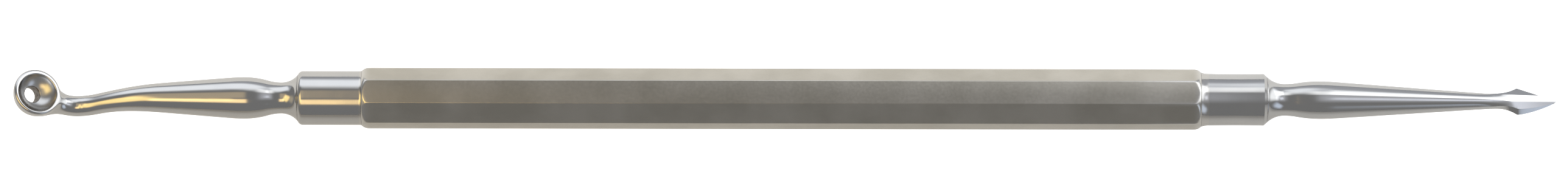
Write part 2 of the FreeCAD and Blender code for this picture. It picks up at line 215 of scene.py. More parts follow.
@dataclass
class Skin:
    """A closed surface in the making: points in millimetres and faces of point numbers."""

    points: np.ndarray
    quads: np.ndarray
    fans: np.ndarray = field(default_factory=lambda: np.zeros((0, 3), int))
    paint: dict[Paint, np.ndarray] = field(default_factory=dict)

    @classmethod
    def tube(cls, rings: np.ndarray, first: np.ndarray, last: np.ndarray) -> "Skin":
        """Skin of a row of rings, closed by a fan of triangles to a point at each end.

        Args:
            rings: Points as rows, columns and coordinates.
            first: Point that closes the first ring.
            last: Point that closes the last ring.

        Returns:
            The closed skin.
        """
        rows, columns = rings.shape[:2]
        ids = np.arange(rows * columns).reshape(rows, columns)
        ends = np.array([[rows * columns], [rows * columns + 1]])
        rims = ids[[0, -1]]
        poles = np.broadcast_to(ends, rims.shape)
        fans = np.stack([rims, np.roll(rims, -1, 1), poles], axis=-1).reshape(-1, 3)
        points = np.concatenate([rings.reshape(-1, 3), [first, last]])
        return cls(points, lattice(ids).reshape(-1, 4), fans)

    @classmethod
    def hoop(cls, rings: np.ndarray) -> "Skin":
        """Skin of a row of rings whose last ring joins the first one."""
        rows, columns = rings.shape[:2]
        ids = np.arange(rows * columns).reshape(rows, columns)
        return cls(rings.reshape(-1, 3), lattice(ids, ring=True).reshape(-1, 4))

    def painted(self, paint: Paint, values: np.ndarray) -> "Skin":
        """Gives each point a value for the material to read, filling up with zeros."""
        filled = np.zeros(len(self.points))
        filled[: values.size] = values.ravel()
        self.paint[paint] = filled
        return self


@dataclass(frozen=True)
class Placement:
    """Where a piece's own axes lie in the frame: an origin, and along, side and up."""

    origin: tuple[float, float, float]
    axes: tuple[tuple[float, float, float], ...]

    def world(self, points: np.ndarray) -> np.ndarray:
        """Takes points from the piece's own axes to the frame's."""
        return np.array(self.origin) + points @ np.array(self.axes)

    def carry(self, pieces: "list[Piece]") -> "list[Piece]":
        """Takes the skins of pieces from their own axes to the frame's."""
        for piece in pieces:
            piece.skin.points = self.world(piece.skin.points)
        return pieces


@dataclass
class Piece:
    """One finished piece: its name, the node that it stands for and its skin."""

    name: str
    node: str
    slot: Slot
    skin: Skin

    def raise_mesh(self) -> bpy.types.Object:
        """Makes the mesh object, smooth but for sharp corners, facing outwards.

        Returns:
            The object, linked to the scene, with its place in its mesh.
        """
        mesh = bpy.data.meshes.new(self.name)
        faces = self.skin.quads.tolist() + self.skin.fans.tolist()
        mesh.from_pydata((self.skin.points * MM).tolist(), [], faces)
        work = bmesh.new()
        work.from_mesh(mesh)
        bmesh.ops.recalc_face_normals(work, faces=work.faces)
        work.to_mesh(mesh)
        work.free()
        for paint, values in self.skin.paint.items():
            attribute = mesh.attributes.new(paint.value, "FLOAT", "POINT")
            attribute.data.foreach_set("value", values.astype(np.float32))
        mesh.shade_smooth()
        mesh.set_sharp_from_angle(angle=SHARP_ANGLE)
        shape = bpy.data.objects.new(self.name, mesh)
        bpy.context.scene.collection.objects.link(shape)
        return shape


def add_node(
    tree: bpy.types.NodeTree, kind: str, inputs: dict | None = None, **settings: object
) -> bpy.types.Node:
    """Adds one node to a tree, with its settings, values and links.

    Args:
        tree: Tree that gets the node.
        kind: Blender's name for the node's type.
        inputs: Value or output socket for each input, by name or number.
        **settings: Properties of the node itself.

    Returns:
        The new node.
    """
    node = tree.nodes.new(kind)
    for name, value in settings.items():
        setattr(node, name, value)
    for name, value in (inputs or {}).items():
        if isinstance(value, bpy.types.NodeSocket):
            tree.links.new(value, node.inputs[name])
        else:
            node.inputs[name].default_value = value
    return node


def new_material(name: str) -> tuple[bpy.types.Material, bpy.types.NodeTree]:
    """Makes a material with an empty tree of nodes."""
    material = bpy.data.materials.new(name)
    material.use_nodes = True
    material.node_tree.nodes.clear()
    return material, material.node_tree


@dataclass(frozen=True)
class SatinSteel:
    """Stainless bar, ground along its length and then finely blasted.

    To the eye it is an even, soft grey without a mirror image: each flat takes a tone that
    changes slowly along it, from the part of the room that it faces.  Handling has rubbed
    the long edges and the turned ends smoother, and they are painted lighter, partly as that
    wear and partly as a painted highlight.
    """

    slot: Slot = Slot.SATIN
    tone: str = "#C0BCB3"
    cloud_tone: str = "#B3AFA5"
    # Lighter tone of the rubbed edges and ends: partly wear, partly a painted highlight.
    worn_and_sheen_tone: str = "#CDCBC6"
    roughness: float = 0.23
    roughness_spread: float = 0.05
    worn_roughness: float = 0.16
    # Blasting grit leaves pits of about 0.05 mm, drawn here at five times that to show.
    pit_size: float = 0.25
    cloud_size: float = 4.5
    lay_length: float = 9.0
    lay_width: float = 0.22
    lay_share: float = 0.3
    bump_depth: float = 0.004
    bump_strength: float = 0.35

    def material(self) -> bpy.types.Material:
        """Makes the material.

        Returns:
            Steel whose tone drifts in clouds, with pits, a faint lengthwise lay, and wear painted lighter on
            the edges, partly as a painted highlight.
        """
        material, tree = new_material("satin_blasted_stainless_steel")
        place = add_node(tree, "ShaderNodeTexCoord").outputs["Object"]
        pits = add_node(
            tree, "ShaderNodeTexNoise", {"Vector": place, "Scale": per_metre(self.pit_size), "Detail": 3.0}
        ).outputs["Fac"]
        clouds = add_node(
            tree, "ShaderNodeTexNoise", {"Vector": place, "Scale": per_metre(self.cloud_size), "Detail": 4.0}
        ).outputs["Fac"]
        across = per_metre(self.lay_width)
        drawn = add_node(
            tree,
            "ShaderNodeMapping",
            {"Vector": place, "Scale": (per_metre(self.lay_length), across, across)},
        ).outputs["Vector"]
        lay = add_node(
            tree, "ShaderNodeTexNoise", {"Vector": drawn, "Scale": 1.0, "Detail": 2.0}
        ).outputs["Fac"]
        wear_and_sheen = add_node(tree, "ShaderNodeAttribute", attribute_name=Paint.WEAR_AND_SHEEN.value).outputs["Fac"]
        cloud_share = add_node(
            tree, "ShaderNodeMapRange", {"Value": clouds, "From Min": NOISE_LOW, "From Max": NOISE_HIGH}
        ).outputs["Result"]
        tone = add_node(
            tree,
            "ShaderNodeMix",
            {MIX_SHARE: cloud_share, MIX_FROM: linear(self.tone), MIX_TO: linear(self.cloud_tone)},
            data_type="RGBA",
        ).outputs[MIX_RESULT]
        # Painted highlight with the wear: the edges and ends are mixed towards the lighter tone.
        worn_and_highlit = add_node(
            tree,
            "ShaderNodeMix",
            {MIX_SHARE: wear_and_sheen, MIX_FROM: tone, MIX_TO: linear(self.worn_and_sheen_tone)},
            data_type="RGBA",
        ).outputs[MIX_RESULT]
        blasted = add_node(
            tree,
            "ShaderNodeMapRange",
            {
                "Value": pits,
                "To Min": self.roughness - self.roughness_spread,
                "To Max": self.roughness + self.roughness_spread,
            },
        ).outputs["Result"]
        roughness = add_node(
            tree,
            "ShaderNodeMix",
            {MIX_SHARE: wear_and_sheen, MIX_NUMBER_FROM: blasted, MIX_NUMBER_TO: self.worn_roughness},
        ).outputs[MIX_NUMBER_RESULT]
        height = add_node(
            tree, "ShaderNodeMath", {0: lay, 1: self.lay_share, 2: pits}, operation="MULTIPLY_ADD"
        ).outputs["Value"]
        bump = add_node(
            tree,
            "ShaderNodeBump",
            {"Height": height, "Strength": self.bump_strength, "Distance": self.bump_depth * MM},
        ).outputs["Normal"]
        shader = add_node(
            tree,
            "ShaderNodeBsdfPrincipled",
            {"Base Color": worn_and_highlit, "Metallic": 1.0, "Roughness": roughness, "Normal": bump},
        ).outputs["BSDF"]
        add_node(tree, "ShaderNodeOutputMaterial", {"Surface": shader})
        return material


@dataclass(frozen=True)
class PolishedSteel:
    """Stainless steel, turned or ground and then buffed to a mirror by hand.

    To the eye it is a bright mirror whose images wander a little, because buffing leaves
    the surface faintly wavy, with a haze of fine rub marks and dark polish left in seams.
    """

    slot: Slot = Slot.POLISHED
    tone: str = "#C2C1BF"
    cloud_tone: str = "#B9B9B8"
    # Dark brown of polish left in seams; it also paints the wall of the cup's hole darker.
    residue_tone: str = "#4A3B2E"
    roughness: float = 0.115
    roughness_spread: float = 0.04
    haze_roughness: float = 0.26
    residue_roughness: float = 0.55
    smudge_size: float = 2.4
    smudge_range: tuple[float, float] = (0.3, 0.7)
    wave_size: float = 1.7
    wave_depth: float = 0.004
    # Rub marks are a few microns wide, drawn at 0.05 mm to show as a haze.
    rub_length: float = 1.6
    rub_width: float = 0.05
    rub_depth: float = 0.0004
    crumb_size: float = 0.3
    crumb_spread: float = 0.35

    def material(self) -> bpy.types.Material:
        """Makes the material.

        Returns:
            Mirror steel with wandering images, smudges, rub marks and residue in seams.
        """
        material, tree = new_material("mirror_buffed_stainless_steel")
        place = add_node(tree, "ShaderNodeTexCoord").outputs["Object"]
        smudges = add_node(
            tree, "ShaderNodeTexNoise", {"Vector": place, "Scale": per_metre(self.smudge_size), "Detail": 3.0}
        ).outputs["Fac"]
        waves = add_node(
            tree, "ShaderNodeTexNoise", {"Vector": place, "Scale": per_metre(self.wave_size), "Detail": 1.0}
        ).outputs["Fac"]
        round_it = per_metre(self.rub_length)
        rubbed = add_node(
            tree,
            "ShaderNodeMapping",
            {"Vector": place, "Scale": (per_metre(self.rub_width), round_it, round_it)},
        ).outputs["Vector"]
        rubs = add_node(
            tree, "ShaderNodeTexNoise", {"Vector": rubbed, "Scale": 1.0, "Detail": 2.0}
        ).outputs["Fac"]
        crumbs = add_node(
            tree, "ShaderNodeTexNoise", {"Vector": place, "Scale": per_metre(self.crumb_size), "Detail": 2.0}
        ).outputs["Fac"]
        seam = add_node(tree, "ShaderNodeAttribute", attribute_name=Paint.RESIDUE.value).outputs["Fac"]
        patchy = add_node(
            tree,
            "ShaderNodeMapRange",
            {
                "Value": crumbs,
                "From Min": NOISE_LOW,
                "From Max": NOISE_HIGH,
                "To Min": 1 - self.crumb_spread,
            },
        ).outputs["Result"]
        residue = add_node(
            tree, "ShaderNodeMath", {0: seam, 1: patchy}, operation="MULTIPLY"
        ).outputs["Value"]
        tone = add_node(
            tree,
            "ShaderNodeMix",
            {MIX_SHARE: smudges, MIX_FROM: linear(self.tone), MIX_TO: linear(self.cloud_tone)},
            data_type="RGBA",
        ).outputs[MIX_RESULT]
        dirty = add_node(
            tree,
            "ShaderNodeMix",
            {MIX_SHARE: residue, MIX_FROM: tone, MIX_TO: linear(self.residue_tone)},
            data_type="RGBA",
        ).outputs[MIX_RESULT]
        buffed = add_node(
            tree,
            "ShaderNodeMapRange",
            {
                "Value": smudges,
                "From Min": self.smudge_range[0],
                "From Max": self.smudge_range[1],
                "To Min": self.roughness - self.roughness_spread,
                "To Max": self.roughness + self.roughness_spread,
            },
        ).outputs["Result"]
        haze = add_node(tree, "ShaderNodeAttribute", attribute_name=Paint.HAZE.value).outputs["Fac"]
        hazy = add_node(
            tree,
            "ShaderNodeMix",
            {MIX_SHARE: haze, MIX_NUMBER_FROM: buffed, MIX_NUMBER_TO: self.haze_roughness},
        ).outputs[MIX_NUMBER_RESULT]
        roughness = add_node(
            tree,
            "ShaderNodeMix",
            {MIX_SHARE: residue, MIX_NUMBER_FROM: hazy, MIX_NUMBER_TO: self.residue_roughness},
        ).outputs[MIX_NUMBER_RESULT]
        wavy = add_node(
            tree,
            "ShaderNodeBump",
            {"Height": waves, "Strength": 1.0, "Distance": self.wave_depth * MM},
        ).outputs["Normal"]
        bump = add_node(
            tree,
            "ShaderNodeBump",
            {"Height": rubs, "Strength": 1.0, "Distance": self.rub_depth * MM, "Normal": wavy},
        ).outputs["Normal"]
        shader = add_node(
            tree,
            "ShaderNodeBsdfPrincipled",
            {"Base Color": dirty, "Metallic": 1.0, "Roughness": roughness, "Normal": bump},
        ).outputs["BSDF"]
        add_node(tree, "ShaderNodeOutputMaterial", {"Surface": shader})
        return material


@dataclass(frozen=True)
class SilverBraze:
    """Silver brazing filler, run into the joint as a hollow fillet and buffed with it.

    To the eye it is a touch yellower and duller than the steel, with a soft flow-marked
    surface and a few dark flux pits.
    """

    slot: Slot = Slot.BRAZE
    tone: str = "#C3C1BD"
    pit_tone: str = "#5A5046"
    roughness: float = 0.15
    pit_roughness: float = 0.5
    flow_size: float = 0.6
    flow_depth: float = 0.006
    pit_size: float = 0.35
    # A noise value below this range is whole filler, and one above it is a pit.
    pit_range: tuple[float, float] = (0.7, 0.78)

    def material(self) -> bpy.types.Material:
        """Makes the material.

        Returns:
            Warm silver with flow marks and flux pits.
        """
        material, tree = new_material("buffed_silver_braze_filler")
        place = add_node(tree, "ShaderNodeTexCoord").outputs["Object"]
        flow = add_node(
            tree, "ShaderNodeTexNoise", {"Vector": place, "Scale": per_metre(self.flow_size), "Detail": 2.0}
        ).outputs["Fac"]
        pits = add_node(
            tree, "ShaderNodeTexNoise", {"Vector": place, "Scale": per_metre(self.pit_size), "Detail": 2.0}
        ).outputs["Fac"]
        whole, pit = self.pit_range
        pitted = add_node(
            tree, "ShaderNodeMapRange", {"Value": pits, "From Min": whole, "From Max": pit}
        ).outputs["Result"]
        tone = add_node(
            tree,
            "ShaderNodeMix",
            {MIX_SHARE: pitted, MIX_FROM: linear(self.tone), MIX_TO: linear(self.pit_tone)},
            data_type="RGBA",
        ).outputs[MIX_RESULT]
        roughness = add_node(
            tree,
            "ShaderNodeMix",
            {MIX_SHARE: pitted, MIX_NUMBER_FROM: self.roughness, MIX_NUMBER_TO: self.pit_roughness},
        ).outputs[MIX_NUMBER_RESULT]
        bump = add_node(
            tree,
            "ShaderNodeBump",
            {"Height": flow, "Strength": 1.0, "Distance": self.flow_depth * MM},
        ).outputs["Normal"]
        shader = add_node(
            tree,
            "ShaderNodeBsdfPrincipled",
            {"Base Color": tone, "Metallic": 1.0, "Roughness": roughness, "Normal": bump},
        ).outputs["BSDF"]
        add_node(tree, "ShaderNodeOutputMaterial", {"Surface": shader})
        return material


class Assembly:
    """A group of pieces that is built and dressed together."""

    def build(self) -> list[Piece]:
        """Works out the skins of the group's pieces."""
        raise NotImplementedError

    def dress(self, finishes: dict[Slot, bpy.types.Material]) -> None:
        """Raises each piece's mesh, gives it its finish and ties it to the tool's body.

        Args:
            finishes: The material for each slot of the record.
        """
        for piece in self.build():
            shape = piece.raise_mesh()
            shape.data.materials.append(finishes[piece.slot])
            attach(shape, BODY)
            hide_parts(piece.node)
            LOG.info("%s: %d faces, stands for %s", shape.name, len(shape.data.polygons), piece.node)


@dataclass
class Handle(Assembly):
    """The octagonal bar, with worn edges painted lighter, partly as a highlight, turned ends and a tang bore
    in each end.
    """

    half_length: float
    half_flats: float
    sides: int = 8
    crown: float = 0.025
    edge_round: float = 0.09
    edge_drift: float = 0.3
    end_edge_growth: float = 0.1
    end_edge_reach: float = 4.0
    drift_lengths: tuple[float, ...] = (31.0, 17.0, 7.3)
    end_round: float = 0.8
    end_land: float = -0.1
    end_blend: float = 0.05
    face_round: float = 0.05
    bore_radius: float = 1.33
    bore_depth: float = 10.5
    drill_point: float = 0.8
    # Wear on the edges and ends, which the satin paints lighter, partly as a painted highlight: its share
    # along the bar and its reaches.
    edge_wear_and_sheen: float = 0.04
    wear_and_sheen_reach: float = 0.12
    end_wear_and_sheen_reach: float = 0.45
    # Points of a section: across an edge, and beside it as shares of half a flat.
    edge_columns: int = 11
    flat_places: tuple[float, ...] = (0.05, 0.2, 0.45, 0.75)
    # Rings over an end's small round, over its long one, just past that, and along the bar.
    face_rows: int = 6
    end_rows: int = 14
    past_end: tuple[float, ...] = (0.05, 0.15, 0.4)
    plain_from: float = 1.5
    plain_rows: int = 90

    @property
    def half_sector(self) -> float:
        """Angle from the middle of a flat to the edge beside it."""
        return math.pi / self.sides

    def columns(self) -> np.ndarray:
        """Angles of the points of a section, close together at the edges.

        Returns:
            The angle from the nearest edge at each column of one sector.
        """
        widest = self.edge_round * (1 + self.edge_drift) + self.end_edge_growth
        middle = (self.half_flats - widest) / math.cos(self.half_sector)
        reach = self.half_sector - math.atan2(middle * math.sin(self.half_sector), self.half_flats)
        arc = np.linspace(-reach, reach, self.edge_columns)
        flat = reach + (self.half_sector - reach) * np.array(self.flat_places)
        return np.concatenate([-flat[::-1], arc, flat, [self.half_sector]])

    def stations(self) -> np.ndarray:
        """Distances along the bar of its rings, close together at the two ends."""
        near = np.concatenate([
            self.face_round * (1 - np.cos(np.linspace(0, math.pi / 2, self.face_rows))),
            np.linspace(self.face_round, self.end_round, self.end_rows)[1:],
            self.end_round + np.array(self.past_end),
        ])
        plain = self.half_length - self.plain_from
        middle = np.linspace(-plain, plain, self.plain_rows)
        return np.concatenate([near - self.half_length, middle, self.half_length - near[::-1]])

    def section(self, along: np.ndarray, offset: np.ndarray) -> np.ndarray:
        """Radius of the octagon with rounded edges, before its ends are turned.

        A flat gives half_flats / cos(angle from its middle).  An edge is an arc whose centre
        lies on the edge's direction.  Its radius drifts along the bar as a sum of sines, and grows
        by a bell curve towards the lancet end, where the fingers rub it most.
        The flats are crowned: they fall off with the square of that angle, as hand finishing
        leaves them.

        Args:
            along: Distance along the bar, one to a row.
            offset: Angle from the nearest edge, one to a column.

        Returns:
            The radius for each row and column.
        """
        waves = [
            np.sin(FULL_TURN * along / length + order)
            for order, length in enumerate(self.drift_lengths)
        ]
        rubbed = bell(self.half_length - along, self.end_edge_reach)
        drifting = self.edge_round * (1 + self.edge_drift * sum(waves) / len(waves))
        radius = drifting + self.end_edge_growth * rubbed
        centre = (self.half_flats - radius) / math.cos(self.half_sector)
        limit = self.half_sector - np.arctan2(centre * math.sin(self.half_sector), self.half_flats)
        flat = self.half_flats / np.cos(self.half_sector - np.abs(offset))
        under = np.maximum(radius**2 - (centre * np.sin(offset)) ** 2, 0)
        arc = centre * np.cos(offset) + np.sqrt(under)
        fall = self.crown * (1 - np.abs(offset) / self.half_sector) ** 2
        return np.where(np.abs(offset) < limit, arc, flat) - fall

    def end_limit(self, along: np.ndarray) -> np.ndarray:
        """Radius that the turned ends leave: an arc level with the edges, then a small round.

        Args:
            along: Distance along the bar.

        Returns:
            The greatest radius there.
        """
        inward = self.half_length - np.abs(along)
        corner = self.half_flats / math.cos(self.half_sector)
        rise = corner - self.half_flats - self.end_land
        radius = (self.end_round**2 + rise**2) / (2 * rise)
        into_arc = np.clip(self.end_round - inward, 0, self.end_round)
        into_face = np.clip(self.face_round - inward, 0, self.face_round)
        arc = radius - np.sqrt(radius**2 - into_arc**2)
        face = self.face_round - np.sqrt(self.face_round**2 - into_face**2)
        clear = np.where(inward > self.end_round, self.end_blend, 0.0)
        return corner - arc - face + clear

    def build(self) -> list[Piece]:
        """Works out the bar: rings of the section, then each end face, bore and drill point.

        Returns:
            The one piece.
        """
        offset = self.columns()
        edges = self.half_sector + 2 * self.half_sector * np.arange(self.sides)
        turn = (edges[:, None] + offset[None, :]).ravel()
        offsets = np.tile(offset, self.sides)
        along = self.stations()[:, None]
        radius = soft_least(self.section(along, offsets), self.end_limit(along), self.end_blend)
        inner = np.array([self.half_length, self.half_length - self.bore_depth])
        bore = np.full((2, turn.size), self.bore_radius)
        rows = np.concatenate([-inner[::-1], along[:, 0], inner])
        radii = np.concatenate([bore, radius, bore])
        rings = np.stack(
            [
                np.repeat(rows[:, None], turn.size, axis=1),
                radii * np.cos(turn),
                self.half_flats + radii * np.sin(turn),
            ],
            axis=-1,
        )
        tip = self.half_length - self.bore_depth - self.drill_point
        poles = np.array([[-tip, 0, self.half_flats], [tip, 0, self.half_flats]])
        # Wear on the edges, strongest towards the lancet end, and on the ends; the satin paints it lighter,
        # partly as a painted highlight.
        edge_arc = np.abs(offsets) * self.half_flats
        inward = self.half_length - np.abs(rows[:, None])
        lancet_side = bell(self.half_length - rows[:, None], self.end_edge_reach)
        along_wear_and_sheen = self.edge_wear_and_sheen + (1 - self.edge_wear_and_sheen) * lancet_side
        rubbed = bell(edge_arc, self.wear_and_sheen_reach) * along_wear_and_sheen
        wear_and_sheen = np.maximum(rubbed, bell(inward, self.end_wear_and_sheen_reach))
        skin = Skin.tube(rings, poles[0], poles[1]).painted(Paint.WEAR_AND_SHEEN, wear_and_sheen)
        return [Piece("octagon_bar", "handle_bar", Slot.SATIN, skin)]


@dataclass
class TurnedEnd:
    """Sizes that the two ends share, along the axis from the handle's end face."""

    collar_length: float
    collar_radius: float
    edge_form: EdgeForm
    edge_drop: float
    edge_length: float
    fillet_length: float
    fillet_foot: float
    flare_length: float
    neck_radius: float
    bulb_reach: float
    bulb_radius: float
    crest_length: float
    taper_length: float
    taper_radius: float
    collar_waist: float = 0.0
    hollow_share: float = 0.35
    fillet_depth: float = 0.4
    tang_radius: float = 1.3
    tang_depth: float = 10.0
    tang_chamfer: float = 0.3
    bore_gap: float = 0.03
    seam_ease: float = 0.035
    residue_reach: float = 0.045
    residue_strength: float = 0.45
    columns: int = 128
    # Rows of points along each stretch of the profiles.
    barrel_rows: int = 24
    arc_rows: int = 14
    chamfer_rows: int = 7
    chamfer_inset: float = 0.06
    trumpet_rows: int = 26
    hollow_rows: int = 12
    bulb_rows: int = 20
    crest_rows: int = 10
    taper_rows: int = 40

    @property
    def bulb_along(self) -> float:
        """Distance of the bulb's widest place from the handle."""
        return self.collar_length + self.flare_length + self.bulb_reach

    @property
    def taper_along(self) -> float:
        """Distance of the taper's far end from the handle."""
        return self.bulb_along + self.taper_length

    @property
    def taper_slope(self) -> float:
        """Loss of radius along the straight taper, for each millimetre."""
        return 2 * (self.bulb_radius - self.taper_radius) / (2 * self.taper_length - self.crest_length)

    @property
    def shoulder_radius(self) -> float:
        """Radius where the collar and the trumpet shoulder meet."""
        return self.collar_radius - self.edge_drop

    def collar(self) -> Skin:
        """Collar: a ring of closed profile, hollowed for the fillet and eased outside.

        The outside is level, or waisted by a half sine, up to its edge, which is an arc or a
        chamfer down to the shoulder.

        Returns:
            The skin in the end's own axes.
        """
        bore = self.tang_radius + self.bore_gap
        eased_from = self.collar_length - self.edge_length
        share = np.linspace(0, 1, self.barrel_rows)
        barrel = np.stack(
            [
                self.fillet_length + (eased_from - self.fillet_length) * share,
                self.collar_radius - self.collar_waist * np.sin(math.pi * share),
            ],
            axis=-1,
        )
        shoulder = (self.collar_length, self.shoulder_radius)
        if self.edge_form is EdgeForm.ROUNDED:
            edge = level_arc(barrel[-1], shoulder, self.arc_rows)[1:-1]
        else:
            down = np.linspace(self.chamfer_inset, 1 - self.chamfer_inset, self.chamfer_rows)
            edge = barrel[-1] + (np.array(shoulder) - barrel[-1]) * down[:, None]
        seam = [(self.collar_length, self.shoulder_radius - self.seam_ease), (self.collar_length, bore)]
        under = self.collar_radius - self.fillet_depth
        start = [(0, bore), (0, under), (self.fillet_length, self.collar_radius - self.seam_ease)]
        profile = np.concatenate([start, barrel, edge, seam])
        rings = turned(profile, self.columns)
        return Skin.hoop(rings).painted(Paint.RESIDUE, self.residue(rings))

    def fillet(self) -> Skin:
        """Brazing fillet: a ring whose outer face is an arc level with the collar."""
        face = level_arc((self.fillet_length, self.collar_radius), (0, self.fillet_foot), self.arc_rows)
        profile = np.concatenate([[(0, self.collar_radius - self.fillet_depth)], face])
        return Skin.hoop(turned(profile, self.columns))

    def stem_profile(self) -> np.ndarray:
        """Profile of the turned stem from the tang to the far end of the taper.

        The trumpet and the rise to the bulb are arcs level at the neck, the bulb is an arc
        level at its widest place, and its crest runs on into the straight taper.

        Returns:
            Along and radius of each row.
        """
        shoulder = np.array([self.collar_length, self.shoulder_radius])
        neck = np.array([self.collar_length + self.flare_length, self.neck_radius])
        bulb = np.array([self.bulb_along, self.bulb_radius])
        hollow = neck + self.hollow_share * (bulb - neck)
        crest = bulb + np.array([self.crest_length, -self.taper_slope * self.crest_length / 2])
        taper = np.array([self.taper_along, self.taper_radius])
        tang = [
            (-self.tang_depth, self.tang_radius - self.tang_chamfer),
            (self.tang_chamfer - self.tang_depth, self.tang_radius),
            (self.collar_length, self.tang_radius),
            (self.collar_length, self.shoulder_radius - self.seam_ease),
        ]
        return np.concatenate([
            tang,
            level_arc(neck, shoulder, self.trumpet_rows)[-2::-1],
            level_arc(neck, hollow, self.hollow_rows)[1:],
            level_arc(bulb, hollow, self.bulb_rows)[-2::-1],
            level_arc(bulb, crest, self.crest_rows)[1:],
            straight_run(crest, taper, self.taper_rows)[1:],
        ])

    def residue(self, rings: np.ndarray) -> np.ndarray:
        """Polish left in the seam at the collar's outer end, as a bell curve along the axis."""
        near = bell(rings[..., 0] - self.collar_length, self.residue_reach)
        outside = np.hypot(rings[..., 1], rings[..., 2]) > self.tang_radius + self.edge_drop
        return np.where(outside, self.residue_strength * near, 0.0)


@dataclass
class DimpledCup:
    """The cup as signed distances in millimetres, in the axes of its seam with the stem.

    The axes start at the seam: along the stem outwards, to the side, and up to the rim.
    """

    stem_radius: float
    bend_radius: float
    reach: float = 2.72
    lift: float = 0.82
    ball_radius: float = 2.18
    ball_sink: float = 0.085
    ball_aside: float = -0.085
    rim_width: float = 0.36
    depth: float = 1.2
    pitch: float = math.radians(8.1)
    roll: float = math.radians(7.9)
    hole_pitch: float = math.radians(-3)
    hole_roll: float = math.radians(16)
    hole_radius: float = 0.75
    lip_round: float = 0.24
    brim_round: float = 0.07
    hole_round: float = 0.04
    # Share of the dark brown tone painted on the hole's wall, which makes it darker.
    hole_wall_darkening: float = 0.8
    web: float = 1.4
    rim_web: float = 0.65
    web_depth: float = 1.1
    socket_radius: float = 0.47
    socket_depth: float = 0.72
    columns: int = 160
    # Window in the ball for the web: half its width, its middle and its foot, as angles.
    window_reach: float = math.radians(47)
    window_turn: float = math.radians(-3)
    window_foot: float = math.radians(24.5)
    patch_rows: int = 24
    settling_steps: int = 12
    # Step for measuring the distance's slope, and the least square of it to divide by.
    nudge: float = 1e-4
    least_steepness: float = 0.2
    # Where the rim's flat and the dimple start beside the brim's corner, in rounds of the brim.
    brim_out: float = 1.4
    brim_in: float = 0.45
    brim_down: float = 1.3
    # Angle from the ball's foot within which its rows lean, and that over which haze sets in.
    lean_from: float = math.radians(70)
    haze_reach: float = 0.2
    # Rows of points along each stretch of the profile.
    ball_rows: int = 60
    lip_rows: int = 15
    rim_rows: int = 5
    brim_rows: int = 9
    bowl_rows: int = 44
    hole_edge_rows: int = 6
    wall_rows: int = 12

    @property
    def centre(self) -> np.ndarray:
        """Centre of the rim's circle."""
        return np.array([self.reach, 0, self.lift])

    @property
    def rim_axis(self) -> np.ndarray:
        """Direction out of the cup, square to the plane of the rim."""
        return self.leaning(self.pitch, self.roll)

    @property
    def hole_axis(self) -> np.ndarray:
        """Direction of the drilled hole, out of the cup."""
        return self.leaning(self.hole_pitch, self.hole_roll)

    @property
    def brim_radius(self) -> float:
        """Radius of the dimple's edge in the plane of the rim."""
        return self.ball_radius - self.rim_width

    @property
    def dimple_radius(self) -> float:
        """Radius of the sphere that the dimple is part of."""
        return (self.brim_radius**2 + self.depth**2) / (2 * self.depth)

    def leaning(self, pitch: float, roll: float) -> np.ndarray:
        """Direction that leans by a pitch along the stem and by a roll to the side."""
        level = math.cos(pitch)
        return np.array([math.sin(pitch), level * math.sin(roll), level * math.cos(roll)])

    def outside(self, points: np.ndarray) -> np.ndarray:
        """Distance to the ball and the bent stem, grown together by a web below the rim.

        Args:
            points: Points in the seam's axes.

        Returns:
            The blended lesser of the distance to the ball and to the stem, which is part of a
            torus before the seam, and past it straight until it ends inside the ball.  The web
            narrows towards the rim, so that the lip stands clear of it.
        """
        along, side, up = np.moveaxis(points, -1, 0)
        aside = np.array([0, self.ball_aside, 0])
        ball_centre = self.centre - self.ball_sink * self.rim_axis + aside
        ball = np.linalg.norm(points - ball_centre, axis=-1) - self.ball_radius
        bent = np.hypot(np.hypot(along, up - self.bend_radius) - self.bend_radius, side)
        past_end = np.maximum(along - self.reach, 0)
        straight = np.sqrt(side**2 + up**2 + past_end**2)
        stem = np.where(along < 0, bent, straight) - self.stem_radius
        below_rim = (self.centre - points) @ self.rim_axis
        web = self.rim_web + (self.web - self.rim_web) * ease(below_rim / self.web_depth)
        return soft_least(ball, stem, web)

    def solid(self, points: np.ndarray) -> np.ndarray:
        """Distance to the finished cup: the outside cut at the rim, dimpled and drilled.

        Args:
            points: Points in the seam's axes.

        Returns:
            The distance, negative inside, with every edge rounded.
        """
        up, drill = self.rim_axis, self.hole_axis
        from_centre = points - self.centre
        above_rim = from_centre @ up
        dimple_centre = up * (self.dimple_radius - self.depth)
        in_dimple = self.dimple_radius - np.linalg.norm(from_centre - dimple_centre, axis=-1)
        along_drill = from_centre @ drill
        off_drill = np.linalg.norm(from_centre - along_drill[..., None] * drill, axis=-1)
        cut = round_meet(self.outside(points), above_rim, self.lip_round)
        dimpled = round_meet(cut, in_dimple, self.brim_round)
        return round_meet(dimpled, self.hole_radius - off_drill, self.hole_round)

    def settle(self, points: np.ndarray) -> np.ndarray:
        """Moves points onto the finished cup by Newton steps along the distance's slope.

        Args:
            points: Points near the surface, in the seam's axes.

        Returns:
            The points on the surface.
        """
        steps = self.nudge * np.eye(3)
        for _ in range(self.settling_steps):
            ahead = np.stack([self.solid(points + step) for step in steps], axis=-1)
            behind = np.stack([self.solid(points - step) for step in steps], axis=-1)
            slope = (ahead - behind) / (2 * self.nudge)
            steepness = np.maximum((slope**2).sum(-1), self.least_steepness)
            points = points - (self.solid(points) / steepness)[..., None] * slope
        return points

    def grown_radius(self, middle: np.ndarray, spokes: np.ndarray) -> np.ndarray:
        """Radius of the webbed stem along spokes from points of its middle line.

        Args:
            middle: Points of the middle line, in the seam's axes.
            spokes: Unit directions out from each of them.

        Returns:
            The distance along each spoke at which the outside's distance is nil.
        """
        radius = np.full(spokes.shape[:-1], self.stem_radius)
        for _ in range(self.settling_steps):
            radius = radius - self.outside(middle + radius[..., None] * spokes)
        return radius

